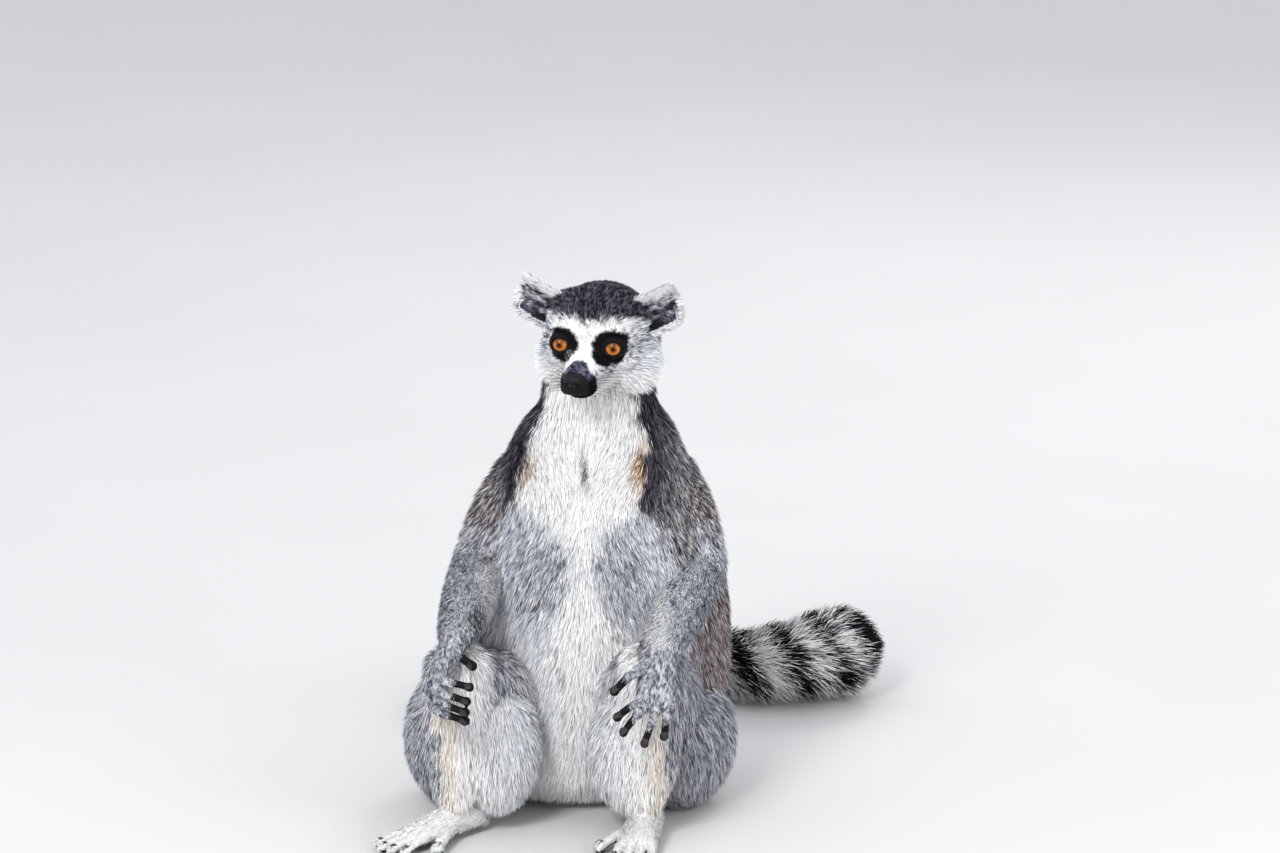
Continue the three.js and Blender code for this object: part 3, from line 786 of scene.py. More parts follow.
def cover(points, normals, numbers):
    """Share of hair on the skin: none at the nose, on the ends of fingers and toes, on their inner sides
    and on soles. Above 1 the hair stands closer than elsewhere, as it does on the ears."""
    forward = into_head(points)[0]
    share = np.where(belonging(numbers, "head"), ramp(BARE_NOSE, BARE_NOSE - 2, forward), 1)
    for side, hand in SIDES.items():
        pose = POSE[hand]
        fingertips = np.vstack([pose["fingertips"], pose["thumb"][1]])
        toe_tips = np.array([tip for _, tip in toe_ends(hand)])
        for part, tips, back, bare in (("digits", fingertips, unit(pose["knuckle_lift"]), BARE_FINGER),
                                       ("toes", toe_tips, UP, BARE_TOE)):
            chosen = numbers == PARTS.index(f"{part}_{side}")
            near = np.linalg.norm(points[chosen][:, None] - tips[None], axis=2).min(axis=1)
            share[chosen] = ramp(bare, bare + BARE_FADE, near) * ramp(-0.35, 0.1, normals[chosen] @ back)
    share[belonging(numbers, "foot") & (normals[:, 2] < -0.5)] = 0
    return share


def sculpted(points, numbers):
    """Eye sockets, and folds where belly and arms crease"""
    head = belonging(numbers, "head")
    for hand in SIDES.values():
        centre, axis = eye_axes(hand)[:2]
        away = points - centre
        distance = np.maximum(np.linalg.norm(away, axis=1), 1e-6)
        angle = np.degrees(np.arccos(np.clip(away @ axis / distance, -1, 1)))
        inside = ramp(62, 50, angle) * (distance < EYE_RADIUS * 2.2) * head
        target = centre + away / distance[:, None] * (EYE_RADIUS - 1.6)
        points = mix(points, target, inside[:, None])
    points[:, 1] += np.where(belonging(numbers, "trunk", "arm"), 0.7 * creased(points), 0)
    return points


class Skin:
    """The fused skin, with what the coat needs to know at each of its points: the part that it belongs to,
    its normal, colour and cover, the hair's length, rise and width, and the way that the hair lies"""

    def __init__(self):
        forms = flesh()
        fused = modified(mesh_of_grids("forms", [grid for _, grid in forms]), "REMESH", mode="VOXEL",
                         voxel_size=VOXEL * MM, use_smooth_shade=True)
        points, triangles = points_of(fused), triangles_of(fused)
        numbers = nearest_part(points, forms)
        small = belonging(numbers, "hand", "digits", "toes")
        face = belonging(numbers, "head") & (into_head(points)[0] > 8)
        net = Net(triangles, len(points))
        kept = net.soften(np.stack([small, face], axis=1).astype(float), 4)
        loose = np.clip(1 - 1.4 * kept[:, :1] - 0.75 * kept[:, 1:], 0.04, 1)
        for _ in range(SOFTENINGS):
            points = mix(points, net.average(points), 0.6 * loose)
        points = sculpted(points, numbers)
        fused.vertices.foreach_set("co", flat(points * MM))
        fused.update()
        body = modified(fused, "DECIMATE", np.clip(1 - kept.sum(axis=1), 0, 1),
                        ratio=SKIN_TRIANGLES / len(triangles), use_collapse_triangulate=True,
                        vertex_group_factor=0.6)
        self.points, self.triangles = points_of(body), triangles_of(body)
        self.numbers = nearest_part(self.points, forms)
        self.net = Net(self.triangles, len(self.points))
        self.normals = self.point_normals()
        self.lay_coat()
        self.add_ears_and_lids()

    def point_normals(self):
        a, b, c = (self.points[self.triangles[:, i]] for i in range(3))
        areas = np.repeat(np.cross(b - a, c - a), 3, axis=0)
        total = [np.bincount(self.triangles.ravel(), column, len(self.points)) for column in areas.T]
        return unit(np.stack(total, axis=1))

    def lay_coat(self):
        """Colour, heading, hair and cover at each point, softened where parts meet"""
        ways, hair = np.empty_like(self.points), np.empty_like(self.points)
        for number in np.unique(self.numbers):
            chosen = self.numbers == number
            here = self.points[chosen]
            ways[chosen] = heading(here, number)
            name = part_and_hand(number)[0]
            hair[chosen] = head_hair(here) if name == "head" else HAIR[name]
        self.ways = unit(off(self.net.soften(ways, 14), self.normals))
        self.hair = self.net.soften(hair, 5)
        self.cover = cover(self.points, self.normals, self.numbers)
        colours = self.net.soften(markings(self.points, self.numbers), 1)
        self.colours = mix(BARE_SKIN, colours, self.cover[:, None])

    def add_ears_and_lids(self):
        """Ears and eyelids are finer than the fused grain, so they join the skin as shells of their own"""
        for hand in SIDES.values():
            grid, values = ear(hand)
            self.add(grid, len(PARTS) + (hand > 0), **values)
            self.add(lids(hand), PARTS.index("head"), colours=0.7 * BLACK, ways=HEAD_UP, hair=(1.5, 14, 0.4),
                     cover=0)

    def add(self, grid, number, **values):
        shell = mesh_of_grids("shell", [grid])
        count = len(shell.vertices)
        self.triangles = np.concatenate([self.triangles, triangles_of(shell) + len(self.points)])
        self.points = np.concatenate([self.points, points_of(shell)])
        for name, value in {"numbers": number, **values}.items():
            whole = getattr(self, name)
            value = np.broadcast_to(value, (count, *whole.shape[1:]))
            setattr(self, name, np.concatenate([whole, value]))
        self.normals = self.point_normals()


# ---- Eyes, lids, nose and ears --------------------------------------------------------------------------


def head_way(way):
    """World direction of one given as forward, sideways and up in the head"""
    forward, sideways, up = way
    return unit(HEAD_FORWARD * forward + HEAD_SIDE * sideways + HEAD_UP * up)


def eye_axes(hand):
    """Centre of an eye, the way it looks, and the ways across it and up it"""
    centre = from_head(EYE_PLACE * (1, hand, 1))
    axis = head_way(GAZE[hand])
    across = unit(np.cross(HEAD_UP, axis))
    return centre, axis, across, np.cross(axis, across)


def round_eye(hand, angle, turn, radius):
    """Places round the centre of an eye, at an angle from its gaze and a turn about it"""
    centre, axis, across, up = eye_axes(hand)
    outward = (np.cos(angle)[..., None] * axis + (np.sin(angle) * np.cos(turn))[..., None] * across
               + (np.sin(angle) * np.sin(turn))[..., None] * up)
    return centre + outward * radius[..., None]


def eye_mesh(hand, grain=72):
    """A ball whose radius rises by a low dome over the iris. Its points carry their angle from the gaze, and
    the spoke of the iris on which they lie."""
    angle = np.linspace(0.004, math.pi - POLE, grain)[:, None].repeat(grain, 1)
    turn = turns(grain)[None].repeat(grain, 0)
    mesh = mesh_of_grids("eye", [round_eye(hand, angle, turn, EYE_RADIUS + 0.55 * ramp(0.75, 0.1, angle))])
    spoke = np.stack([np.cos(turn) * 1.6, np.sin(turn) * 1.6, angle * 0.9], axis=-1)
    mesh.attributes.new("angle", "FLOAT", "POINT").data.foreach_set("value", flat(angle))
    mesh.attributes.new("spoke", "FLOAT_VECTOR", "POINT").data.foreach_set("vector", flat(spoke))
    return mesh


def lids(hand):
    """A rim round the opening: its section rolls over the eyeball's edge and dives under the skin further
    out. The opening's half angle is an oval, wider than high, that comes to a corner towards the nose."""
    turn = turns(96)[:, None]
    inner = np.cos(turn) * -hand
    opening = np.radians(42 - 7.0 * np.sin(turn) ** 2 + 9 * np.clip(inner, 0, 1) ** 6)
    # How far the section spreads from the opening, in radians, and stands off the eyeball
    section = [(-0.10, -1.2), (-0.05, -0.1), (0.0, 0.45), (0.06, 0.95), (0.16, 1.25), (0.3, 1.35),
               (0.48, 1.3), (0.68, 0.9), (0.9, 0.1), (0.95, -1.6)]
    step = np.linspace(0, 1, 28)
    widen, lift = spline(section, step).T
    folds = 0.12 * np.sin(6 * math.pi * step) * ramp(0.35, 0.6, step)
    return round_eye(hand, opening + widen, turn, EYE_RADIUS + lift + folds)


def nose_pad():
    """The bare end of the nose: a ball flattened below and widened above, with a furrow down its middle and
    a comma-shaped nostril sunk into each side."""
    forward, sideways, up = ball(90, 140)
    across = NOSE_HALF * sideways * (1 + 0.16 * up)
    high = np.where(up > 0, NOSE_ABOVE, NOSE_BELOW) * up
    aside = np.abs(across)
    furrow = 0.75 * bell(across / 0.55) * ramp(1.5, -2.5, high)
    nostril = 3.6 * bell((aside - 3.6) / 1.35, high + 0.5 + 0.35 * aside)
    slit = 1.5 * bell((aside - 5.6) / 1.5, (high + 0.4 - 0.2 * aside) / 0.6)
    sink = (furrow + nostril + slit) * ramp(-0.1, 0.3, forward)
    return from_head(np.stack([NOSE_AHEAD * forward - sink, across, high], axis=-1) + NOSE_PLACE)


def ear(hand):
    """A cupped leaf: its section is a thin egg bent forward at both edges. Gives the grid, and the colour,
    lie, hair and cover of each of its points: white outside and along the rim, dark with pale streaks
    inside, and black as painted shadow low in the hollow."""
    mirror = np.array([1.0, hand, 1.0])
    outward, upward = head_way(unit(EAR_OUTWARD) * mirror), head_way(unit(EAR_UPWARD) * mirror)
    t = np.array([0, 0.3, 0.6, 0.82, 0.94])[:, None]
    middles = from_head(EAR_ROOT * mirror) + outward * (t * EAR_LENGTH) + upward * (EAR_CORNER * t**2)
    half = EAR_HALF * np.array([1.0, 1.02, 1.02, 1.02, 0.98])
    thin = np.full(5, EAR_THICKNESS)
    grid = loft(middles, np.stack([half, thin, thin], axis=1), upward * hand, (0.1, 0.3), outward, EAR_CUP,
                sides=72, rows=40)
    rows, sides = grid.shape[:2]
    points = grid.reshape(-1, 3)
    length = np.linspace(-0.1, 1.08, rows).repeat(sides)
    across = np.tile(np.cos(turns(sides)) * hand, rows)
    front = np.tile(np.sin(turns(sides)) > 0, rows)
    ragged = 0.05 * noise(points, 3, 12) + 0.06 * noise(points, 1.2, 13)
    rim = np.maximum(ramp(0.4, 0.8, across + ragged), ramp(0.88, 0.97, length + ragged))
    rim = np.maximum(rim, 0.9 * ramp(-0.86, -0.97, across + ragged))
    spread = across / (0.35 + 0.65 * length)
    streak = noise(np.stack([14 * spread, 0.9 * length, np.full(len(points), 3.0 * hand)], axis=1), 1, 14)
    # painted shadow: black low in the ear's hollow, where the cup would shade it
    hollow_shadow = ramp(0.6, 0.35, length) * ramp(-0.2, -0.5, across) * ramp(-0.95, -0.8, across)
    pale = 0.62 * ramp(0.0, 0.5, streak) * ramp(-0.8, -0.2, across)
    inside = painted(mix(BLACK, SNOUT, 0.6), (PALE_GREY, pale), (WHITE, rim), (BLACK, hollow_shadow))
    hair = [mix(6.5, 8.0, rim), mix(16.0, 30.0, rim), 0.36]
    hair_behind = [6.5, 24.0, 0.36]
    return grid, {
        "colours": np.where(front[:, None], inside, mix(WHITE, PALE_GREY, 0.35)),
        "ways": unit(outward + 0.55 * across[:, None] * upward),
        "hair": np.stack([np.where(front, *both) for both in zip(hair, hair_behind)], axis=1),
        "cover": np.where(front, mix(0.9, 2.6, rim), 2.2)}


# ---- The coat -------------------------------------------------------------------------------------------

# Pieces of the coat: slot, how many triangles each may have, and the segments of its blades
COAT = {
    "coat_face": ("coat_white", 150_000, 2), "coat_head": ("coat_white", 160_000, 2),
    "coat_chest": ("coat_white", 185_000, 2), "coat_belly": ("coat_white", 165_000, 2),
    "coat_back": ("coat_grey", 165_000, 2), "coat_arms": ("coat_grey", 190_000, 2),
    "coat_thighs": ("coat_grey", 170_000, 2), "coat_shins": ("coat_white", 140_000, 2),
    "coat_tail": ("coat_black", 170_000, 3),
}
# The piece that a part's coat belongs to. The arms and hands, which aren't named here, are in coat_arms.
PIECE_OF = {"ear": "coat_head", "tail": "coat_tail", "thigh": "coat_thighs", "shin": "coat_shins",
            "foot": "coat_shins", "toes": "coat_shins"}
FACE_START = 12  # how far ahead in the head
CHEST_START = 165  # height
PATCH = 0.003  # width of a tuft's place on the map for baking
CLUMP = 4.0  # size of the locks that neighbouring tufts lean into
LEAN = 0.22  # how far they lean into them
ROOTED = 0.5  # how deep a tuft starts under the skin
PEPPER = 1.5  # size of the dark and light spots of a grizzled coat
SEEN = (0.2, 0.8)  # where along a tuft its colour may be looked up
# How the tufts differ in length, rise and width, as shares of the hair's own where they stand
LENGTHS, RISES, WIDTHS = (0.62, 1.12), (0.45, 1.35), (0.75, 1.2)
ROLL = 1.15  # how far a tuft may turn about its own length, in radians
SWAYS = ((15, 0.16), (5, 0.14))  # sizes of the waves in which the hair sways aside, and how far it does
STRAY = 0.20  # how far single tufts do so on their own
DROOP, SINK = 0.36, 0.10  # how far the tip of a tuft falls back to the skin, and straight down
FACING = 0.62  # share of the skin's normal in a tuft's, where the rest is its own face's
MAP_START = np.array([0.83, 0.02, 0.55])  # the turn about a part starts square to this


def coat_piece(points, numbers):
    """Name of the coat piece at each point"""
    names = np.full(len(points), "", dtype="<U12")
    y, z = points[:, 1], points[:, 2]
    face = np.where(into_head(points)[0] > FACE_START, "coat_face", "coat_head")
    front = y < by_height(TORSO[:, [2, 1]], z) + 12
    trunk = np.where(front, np.where(z > CHEST_START, "coat_chest", "coat_belly"), "coat_back")
    for number in np.unique(numbers):
        chosen = numbers == number
        part = part_and_hand(number)[0]
        if part == "head":
            names[chosen] = face[chosen]
        elif part == "trunk":
            names[chosen] = trunk[chosen]
        else:
            names[chosen] = PIECE_OF.get(part, "coat_arms")
    return names


def unwrapped(points, numbers):
    """Place of each point on a map of the skin: each part has a column, where the turn about the part's
    length runs across and the way along it runs up."""
    places = np.empty((len(points), 2))
    found = np.unique(numbers)
    for column, number in enumerate(found):
        chosen = numbers == number
        here = points[chosen]
        name, hand = part_and_hand(number)
        if name == "tail":
            nearest = tail_places.nearest(here)
            axis, origin, way = tail_heading[nearest], tail_middles[nearest], tail_arc[nearest]
        else:
            axis = HEAD_UP if name in ("head", "ear") else UP
            if name in BONES:
                start, end = BONES[name]
                axis = unit(POSE[hand][end] - POSE[hand][start])
            origin = here.mean(axis=0)
            axis = np.broadcast_to(axis, here.shape)
            way = along(here - origin, axis)[:, 0]
        rest = off(here - origin, axis)
        back = unit(np.cross(axis, MAP_START))
        across = np.cross(axis, back)
        turn = np.arctan2(along(rest, across)[:, 0], along(rest, back)[:, 0]) / (2 * math.pi) + 0.5
        places[chosen, 0] = (column + 0.02 + 0.96 * turn) / len(found)
        places[chosen, 1] = 0.01 + 0.98 * (way - way.min()) / max(np.ptp(way), 1e-6)
    return places


def rooted(skin, chosen, count):
    """Random roots on the chosen triangles, closer together where the hair is short and fine"""
    triangles = skin.triangles[chosen]
    a, b, c = (skin.points[triangles[:, i]] for i in range(3))
    area = np.linalg.norm(np.cross(b - a, c - a), axis=1) / 2
    size = skin.hair[:, 0] * skin.hair[:, 2]
    density = (skin.cover / np.maximum(size, 0.4) ** 0.85)[triangles].mean(axis=1)
    total = np.cumsum(area * density)
    picked = np.searchsorted(total, np.sort(random.random(count)) * total[-1])
    picked = np.minimum(picked, len(triangles) - 1)
    u, v = np.sqrt(random.random(count)), random.random(count)
    shares = np.stack([1 - u, u * (1 - v), u * v], axis=1)[..., None]
    corners = triangles[picked]

    def blend(values):
        return (values[corners] * shares).sum(axis=1)

    nearest = corners[np.arange(count), shares[..., 0].argmax(axis=1)]
    return (blend(skin.points), unit(blend(skin.normals)), unit(blend(skin.ways)), blend(skin.hair),
            blend(skin.colours), skin.numbers[nearest])


def clumped(roots, tips, size):
    """Tips drawn towards the mean tip of their clump: roots share a clump when their places, stirred by
    noise, fall in one cube."""
    stirred = roots + 0.6 * size * np.stack([noise(roots, 2.2 * size, k) for k in (21, 22, 23)], axis=1)
    cells = np.floor(stirred / size).astype(np.int64)
    _, group = np.unique(cells @ np.array([1, 4096, 4096 * 4096]), return_inverse=True)
    counts = np.bincount(group)
    middle = np.stack([np.bincount(group, column) / counts for column in tips.T], axis=1)
    return mix(tips, middle[group], LEAN * (0.6 + 0.8 * random.random((len(tips), 1))))


def tufts(skin, chosen, count, segments):
    """Blades whose middle line is root + length * (t * heading + t^2 * bend), and whose half width falls to
    nothing at the tip. Returns points by blade, and their colours, normals and patches."""
    root, normal, way, hair, colour, numbers = rooted(skin, chosen, count)
    length = hair[:, :1] * random.uniform(*LENGTHS, (count, 1))
    marked = numbers < len(PARTS)
    seen = length * random.uniform(*SEEN, (count, 1))
    colour[marked] = markings((root + seen * way)[marked], numbers[marked])
    rise = np.radians(hair[:, 1:2] * random.uniform(*RISES, (count, 1)))
    sway = sum(far * noise(root, size, 31 + i) for i, (size, far) in enumerate(SWAYS))
    sway = sway + STRAY * random.standard_normal(count)
    way = unit(way + sway[:, None] * np.cross(normal, way))
    out = way * np.cos(rise) + normal * np.sin(rise)
    bend = -DROOP * np.sin(rise) * normal - SINK * UP
    tip = clumped(root, root + length * (out + bend), np.clip(0.42 * hair[:, :1].mean(), 1.2, CLUMP))
    out = (tip - root) / length - bend
    across = unit(np.cross(out, normal))
    roll = random.uniform(-ROLL, ROLL, (count, 1))
    across = across * np.cos(roll) + np.cross(unit(out), across) * np.sin(roll)
    face = unit(np.cross(across, out))
    flip = np.where(along(face, normal) < 0, -1, 1)
    across, face = across * flip, face * flip
    steps = np.linspace(0, 1, segments + 1)[:, None, None]
    middle = root + length * (steps * out + steps**2 * bend)
    middle[0] -= ROOTED * normal
    wide = 0.5 * hair[:, 2:] * random.uniform(*WIDTHS, (count, 1)) * np.sqrt(1 - 0.85 * steps)
    left, right = middle - across * wide, middle + across * wide
    points = np.concatenate([left[:-1], right[:-1], middle[-1:]]).transpose(1, 0, 2)
    t = np.concatenate([steps[:-1, 0, 0], steps[:-1, 0, 0], [1]])
    colours = shaded(points, colour, t)
    normals = np.broadcast_to(unit(FACING * normal + (1 - FACING) * face)[:, None], points.shape)
    edge = np.repeat([-0.5, 0.5, 0], [segments, segments, 1])
    uv = unwrapped(root, numbers)[:, None] + PATCH * np.stack([edge, t - 0.5], axis=1)
    points[..., 2] = np.maximum(points[..., 2], FLOOR_CLEARANCE)
    return points, colours, normals, uv


def shaded(places, colour, t):
    """Colour at each place of each tuft, darker towards the root as painted shade of the coat's depth. Where
    the coat is neither black nor white it is pepper and salt: small spots of it are nearly black, others
    nearly white. In pale coat a few tufts are darkened as painted shade between the hairs."""
    count, corners = places.shape[:2]
    light = colour.mean(axis=1)[:, None, None]
    mixed = ramp(0.008, 0.03, light) * ramp(0.93, 0.62, light)
    bright = ramp(0.6, 0.85, light)
    spot = noise(places.reshape(-1, 3), PEPPER, 41).reshape(count, corners, 1)
    spot = spot + 0.4 * random.uniform(-1, 1, (count, 1, 1))
    # painted shade: a few tufts in pale coat are darkened to stand for the shade between the hairs
    gap_shade = (random.random((count, 1, 1)) < 0.09 * bright) * 0.6
    tip = colour[:, None] * np.exp(random.standard_normal((count, 1, 1)) * (0.05 + 0.2 * mixed))
    tip = tip * (1 - np.maximum(0.9 * mixed * ramp(0.08, 0.40, spot), gap_shade) * (1, 0.98, 0.92))
    tip = mix(tip, WHITE, mix(0.12, 0.72, ramp(0.03, 0.18, light)) * mixed * ramp(-0.10, -0.42, spot))
    # painted shade: the root of each tuft is darker, as the depth of the coat would shade it
    deep = colour[:, None] * mix(mix(0.5, 0.3, mixed), 0.55, bright)
    return np.clip(mix(deep, tip, ramp(0.0, 0.6, t)[None, :, None]), 0.003, 0.95)


def paint(mesh, colours):
    layer = mesh.attributes.new("markings", "FLOAT_COLOR", "POINT")
    layer.data.foreach_set("color", flat(np.concatenate([colours, np.ones((len(colours), 1))], axis=1)))


def grown(name, skin, chosen):
    """One piece of the coat: a blade has two points at each step but one at its tip"""
    _, triangles, segments = COAT[name]
    faces = []
    for left in range(segments - 1):
        right = left + segments
        faces += [(left, right, right + 1), (left, right + 1, left + 1)]
    faces.append((segments - 1, 2 * segments - 1, 2 * segments))
    count = triangles // len(faces)
    points, colours, normals, uv = tufts(skin, chosen, count, segments)
    faces = (np.array(faces)[None] + points.shape[1] * np.arange(count)[:, None, None]).reshape(-1, 3)
    mesh = mesh_of_triangles(name, points.reshape(-1, 3), faces)
    paint(mesh, colours.reshape(-1, 3))
    unwrap = mesh.uv_layers.new(name="OFBake")
    unwrap.data.foreach_set("uv", flat(uv.reshape(-1, 2)[faces.ravel()]))
    mesh.normals_split_custom_set_from_vertices(normals.reshape(-1, 3).astype(np.float32))
    return mesh


# ---- Whiskers and nails ---------------------------------------------------------------------------------


def bristle(root, way, length, sag):
    t = np.linspace(0, 1, 4)[:, None]
    thickness = np.linspace(0.16, 0.05, 4)[:, None].repeat(3, 1)
    return loft(root + length * (t * way + t**2 * sag * UP), thickness, unit(np.cross(way, UP + 0.01)),
                (0.5, 1), sides=5, rows=7, cap_rows=1)


def whiskers():
    """Tapering bristles in rows on the upper lip and a few over the brows, as thin bent tubes"""
    grids = []
    for hand in SIDES.values():
        for row, k in product(range(3), range(5)):
            root = (50 - 3.4 * k, hand * (10.2 + 0.5 * k - 0.4 * row), -14 - 2.8 * row + 0.5 * k)
            way = head_way((-(0.25 + 0.12 * k), hand * 0.9, 0.16 - 0.16 * row))
            grids.append(bristle(from_head(root), way, 15 + 2.2 * k + 2 * random.random(), -0.18))
        for k in range(3):
            root = (24, hand * (13 + 3 * k), 15.5)
            way = head_way((0.5, hand * (0.1 + 0.2 * k), 0.9))
            grids.append(bristle(from_head(root), way, 12 + random.random() * 2, -0.1))
    return mesh_of_grids("whiskers", grids)


def nail(start, tip, back, lift, half):
    """A domed plate on the back of a tip, along the way from the digit's start"""
    ahead = unit(tip - start)
    back = unit(off(back, ahead))
    rows = ((-2.2, -0.1), (0.4, 0.15), (3.4, -0.9))  # how far ahead of the tip, and above the nail's lift
    middles = [tip + ahead * past + back * (lift + rise) for past, rise in rows]
    sizes = [(half * 0.8, 0.35, 0.5), (half, 0.4, 0.5), (half * 0.7, 0.28, 0.35)]
    return loft(middles, sizes, np.cross(ahead, back), (0.2, 0.5), cup=-0.35, sides=18, rows=12, cap_rows=3)


def nails():
    grids = []
    for hand in SIDES.values():
        pose = POSE[hand]
        lift = unit(pose["knuckle_lift"])
        for tip in pose["fingertips"]:
            grids.append(nail(pose["knuckles"].mean(axis=0), tip, lift, 3.0, 2.1))
        grids.append(nail(*pose["thumb"], lift, 3.0, 2.1))
        *small, great = toe_ends(hand)
        grids += [nail(*ends, UP, 2.9, 1.7) for ends in small]
        grids.append(nail(*great, UP, 3.6, 2.2))
    return mesh_of_grids("nails", grids)


# ---- Materials ------------------------------------------------------------------------------------------


class Value:
    """A number that varies over a surface; arithmetic on it adds Math nodes"""

    def __init__(self, shader, socket):
        self.shader, self.socket = shader, socket

    def math(self, operation, *others):
        return self.shader.node("ShaderNodeMath", {"operation": operation}, dict(enumerate((self, *others))))

    def __add__(self, other):
        return self.math("ADD", other)

    def __mul__(self, other):
        return self.math("MULTIPLY", other)

    def __sub__(self, other):
        return self.math("SUBTRACT", other)

    def __rsub__(self, other):
        return self * -1 + other

    def step(self, low, high):
        """0 below low, 1 above high, smooth between"""
        return self.shader.node("ShaderNodeMapRange", {"interpolation_type": "SMOOTHSTEP"},
                                {"Value": self, "From Min": low, "From Max": high})


class Shader:
    """A material and its nodes"""

    def __init__(self, name, **finish):
        self.material = bpy.data.materials.new(name)
        self.material.use_nodes = True
        self.tree = self.material.node_tree
        self.surface = self.tree.nodes["Principled BSDF"]
        for socket, value in finish.items():
            self.set(socket.replace("_", " "), value)

    def node(self, kind, settings=None, values=None, output=0):
        """A node with its settings and the values or links of its sockets; gives one of its outputs"""
        node = self.tree.nodes.new(kind)
        for name, value in (settings or {}).items():
            setattr(node, name, value)
        for name, value in (values or {}).items():
            self.join(node.inputs[name], value)
        return Value(self, node.outputs[output])

    def join(self, socket, value):
        if isinstance(value, Value):
            self.tree.links.new(value.socket, socket)
        elif socket.type == "RGBA":
            socket.default_value = (*value, 1)
        else:
            socket.default_value = value

    def set(self, name, value):
        self.join(self.surface.inputs[name], value)

    def place(self):
        return self.node("ShaderNodeTexCoord", output="Object")

    def grain(self, scale, detail=3.0, place=None):
        return self.node("ShaderNodeTexNoise", None,
                         {"Vector": place or self.place(), "Scale": scale, "Detail": detail})

    def cells(self, scale):
        return self.node("ShaderNodeTexVoronoi", None, {"Vector": self.place(), "Scale": scale})

    def blend(self, share, first, second, kind="MIX"):
        return self.node("ShaderNodeMix", {"data_type": "RGBA", "blend_type": kind},
                         {"Factor": share, 6: first, 7: second}, output=2)

    def colours(self, place, stops):
        """The colour at a place on a ramp of stops, each a position and a colour"""
        colour = self.node("ShaderNodeValToRGB", None, {"Fac": place})
        elements = colour.socket.node.color_ramp.elements
        while len(elements) < len(stops):
            elements.new(0.5)
        for element, (position, stop) in zip(elements, stops):
            element.position = position
            element.color = (*stop, 1)
        return colour

    def bump(self, height, strength, distance):
        self.set("Normal", self.node("ShaderNodeBump", None, {
            "Height": height, "Strength": strength, "Distance": distance}))

    def attribute(self, name, output="Color"):
        return self.node("ShaderNodeAttribute", {"attribute_name": name}, output=output)


def coat_finish():
    """Matt hair, with a faint streaky change of roughness"""
    shader = Shader("coat_hair", Specular_IOR_Level=0.06)
    shader.set("Base Color", shader.attribute("markings"))
    shader.set("Roughness", shader.grain(900) * 0.2 + 0.55)
    return shader.material


def skin_finish():
    """Hide under the coat: short nap where hair covers it, creased and pebbled leather where it is bare"""
    shader = Shader("skin_hide", Specular_IOR_Level=0.1)
    nap = shader.grain(1400, 4.0)
    shade = nap.step(0.25, 0.8)
    colour = shader.blend(shade, shader.attribute("markings"), (0.75, 0.74, 0.73), "MULTIPLY")
    shader.set("Base Color", colour)
    shader.set("Roughness", nap * 0.25 + 0.42)
    shader.bump(nap + shader.cells(1100) * 0.8, 0.5, 0.0005)
    return shader.material


# Colours of the eye from the middle of its pupil out to the white, by the angle from its axis
IRIS = [
    (0.00, (0.002, 0.002, 0.002)), (0.15, (0.003, 0.002, 0.002)), (0.20, (0.200, 0.035, 0.004)),
    (0.32, (0.450, 0.120, 0.010)), (0.50, (0.660, 0.240, 0.024)), (0.62, (0.420, 0.110, 0.010)),
    (0.72, (0.060, 0.012, 0.004)), (0.80, (0.006, 0.004, 0.004)),
]


def eye_finish():
    """Amber iris with fine spokes, a dark rim and a small dark pupil, its upper part darkened as painted
    shadow of the lid, all under a wet clear surface
    """
    shader = Shader("eye_amber", Coat_Weight=0.3, Coat_Roughness=0.04, Specular_IOR_Level=0.1)
    angle = shader.attribute("angle", "Fac")
    around = shader.attribute("spoke", "Vector")
    spokes = shader.grain(7.0, 4.0, around)
    colour = shader.colours(angle + (spokes - 0.5) * 0.06, IRIS)
    height = shader.node("ShaderNodeSeparateXYZ", None, {"Vector": around}, output=1)
    # the spokes' streaks, times painted shadow: the upper part of the iris is darkened as if under the lid
    streaks = (spokes.step(0.3, 0.65) * 0.6 + 0.45) * (1 - (height * angle).step(0.0, 0.65) * 0.7)
    shader.set("Base Color", shader.node("ShaderNodeVectorMath", {"operation": "SCALE"}, {
        0: colour, "Scale": streaks}))
    shader.set("Roughness", spokes * 0.1 + 0.12)
    shader.bump(spokes, 0.15, 0.0002)
    return shader.material


def nose_finish():
    """Moist black leather, pebbled all over"""
    shader = Shader("nose_leather", Coat_Weight=0.04, Coat_Roughness=0.25, Specular_IOR_Level=0.16)
    pebbles = shader.cells(1500)
    dark, pale = (0.002, 0.002, 0.003), (0.007, 0.006, 0.008)
    shader.set("Base Color", shader.blend(pebbles.step(0.1, 0.7), dark, pale))
    shader.set("Roughness", shader.grain(500) * 0.3 + 0.26)
    shader.bump(1 - pebbles, 0.55, 0.0004)
    return shader.material


def horn_finish(name, dark, pale, roughness):
    """Nails and bristles, streaked along their length"""
    shader = Shader(name, Specular_IOR_Level=0.25)
    shader.set("Base Color", shader.blend(shader.grain(700), dark, pale))
    shader.set("Roughness", shader.grain(1500) * 0.2 + roughness)
    return shader.material


def floor_finish():
    shader = Shader("studio_floor", Specular_IOR_Level=0.2)
    shader.set("Base Color", shader.blend(shader.grain(3.0), (0.60, 0.598, 0.592), (0.64, 0.638, 0.632)))
    shader.set("Roughness", shader.grain(8.0) * 0.1 + 0.75)
    return shader.material


# ---- Pieces ---------------------------------------------------------------------------------------------


def added(name, data):
    """A new object of the scene"""
    item = bpy.data.objects.new(name, data)
    bpy.context.scene.collection.objects.link(item)
    return item


def place(name, mesh, material):
    mesh.materials.append(material)
    return added(name, mesh)


def dressed(name, mesh, material, slot, *nodes):
    """A piece of the part, hiding the nodes it takes the place of; its slot is not used"""
    piece = place(name, mesh, material)
    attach(piece, "root")
    if nodes:
        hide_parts(*nodes)


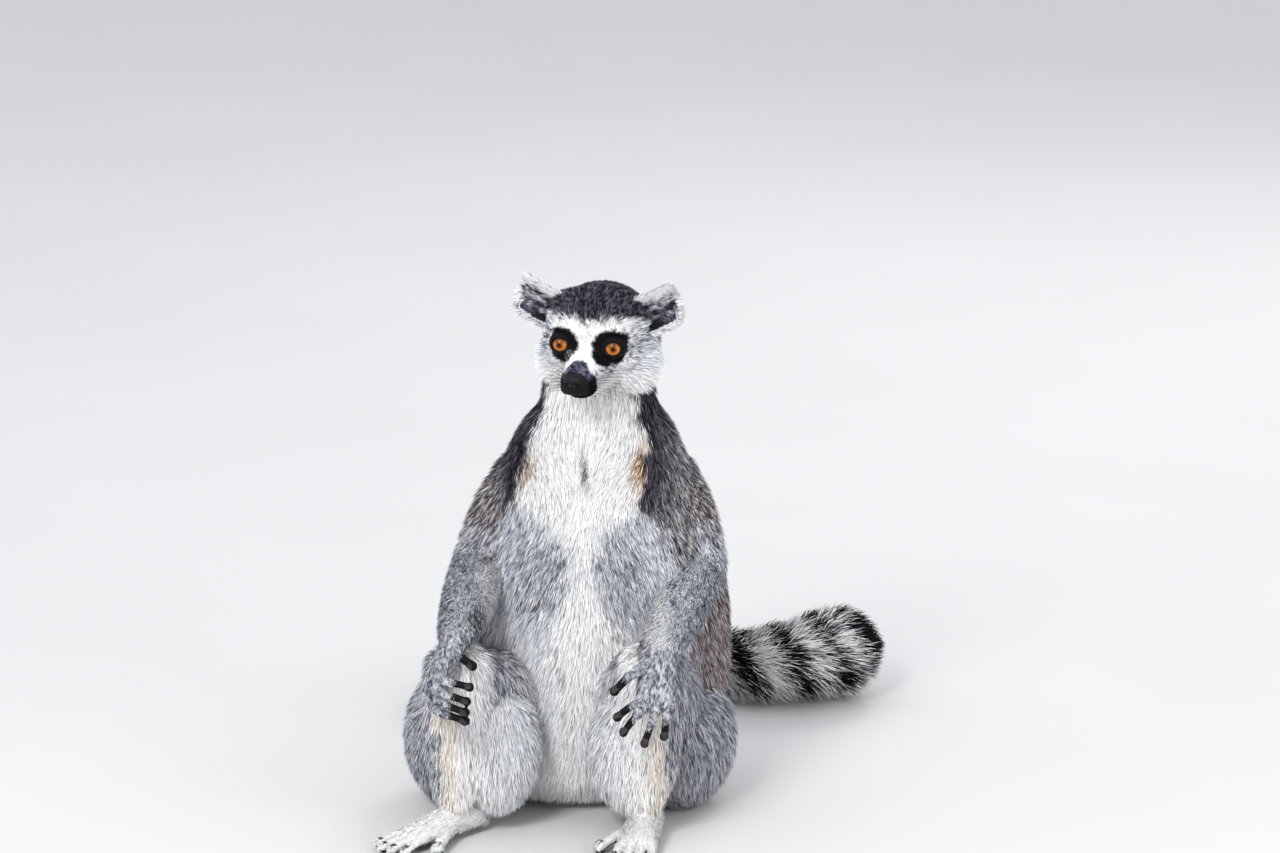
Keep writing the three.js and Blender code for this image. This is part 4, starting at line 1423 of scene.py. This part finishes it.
def build_animal():
    skin = Skin()
    flesh_nodes = [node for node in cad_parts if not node.startswith(("eye", "nose"))]
    mesh = mesh_of_triangles("skin", skin.points, skin.triangles)
    paint(mesh, skin.colours)
    dressed("skin", mesh, skin_finish(), "coat_white", *flesh_nodes)
    hair = coat_finish()
    names = coat_piece(skin.points, skin.numbers)[skin.triangles[:, 0]]
    for name, (slot, *_) in COAT.items():
        dressed(name, grown(name, skin, names == name), hair, slot)
    eye = eye_finish()
    for side, hand in SIDES.items():
        dressed(f"eyeball_{side}", eye_mesh(hand), eye, "eye", f"eye_{side}")
    dressed("nose_pad", mesh_of_grids("nose_pad", [nose_pad()]), nose_finish(), "bare_skin", "nose")
    horn = horn_finish("dark_nail", (0.012, 0.011, 0.012), (0.035, 0.03, 0.03), 0.5)
    dressed("nails", nails(), horn, "bare_skin")
    bristles = horn_finish("dark_bristle", (0.015, 0.014, 0.014), (0.05, 0.045, 0.045), 0.45)
    dressed("whiskers", whiskers(), bristles, "bare_skin")


# ---- Studio ---------------------------------------------------------------------------------------------

CAMERA_PLACE = (0.0488, -3.2996, 1.0741)
CAMERA_DIP = 13.767  # degrees below level
CAMERA_FOCUS = 4901.96 / 1280  # focal length in widths of the picture
SENSOR = 36.0
LIT = Vector((0, 0, 0.2))  # the point that every light faces
# Lights: place, width of the disk and watts
LIGHTS = {"key": ((-0.9, -2.1, 1.9), 0.9, 54), "fill": ((1.9, -1.7, 1.1), 1.4, 15),
          "behind": ((0.9, 1.9, 1.6), 1.0, 14)}
FLOOR = 12  # half its width
SKY = (0.93, 0.95, 1.0, 1)


def add_camera():
    camera = bpy.data.cameras.new("camera")
    camera.sensor_fit = "HORIZONTAL"
    camera.sensor_width = SENSOR
    camera.lens = CAMERA_FOCUS * SENSOR
    camera.clip_end = 50
    holder = added("camera", camera)
    holder.location = CAMERA_PLACE
    holder.rotation_euler = (math.radians(90 - CAMERA_DIP), 0, 0)
    bpy.context.scene.camera = holder


def add_studio():
    """A wide pale floor, a soft high key light, a fill, a light behind, and an even pale sky"""
    floor = bpy.data.meshes.new("studio_floor")
    corners = [(x * FLOOR, y * FLOOR, 0) for x, y in ((-1, -1), (1, -1), (1, 1), (-1, 1))]
    floor.from_pydata(corners, [], [(0, 1, 2, 3)])
    place("studio_floor", floor, floor_finish())
    for name, (location, size, watts) in LIGHTS.items():
        light = bpy.data.lights.new(name, "AREA")
        light.shape, light.size, light.energy = "DISK", size, watts
        holder = added(name, light)
        holder.location = location
        holder.rotation_euler = (LIT - Vector(location)).to_track_quat("-Z", "Y").to_euler()
    world = bpy.data.worlds.new("studio")
    world.use_nodes = True
    background = world.node_tree.nodes["Background"].inputs
    background["Color"].default_value = SKY
    background["Strength"].default_value = 1.0
    bpy.context.scene.world = world
    bpy.context.scene.view_settings.view_transform = "Standard"


add_camera()
add_studio()
build_animal()
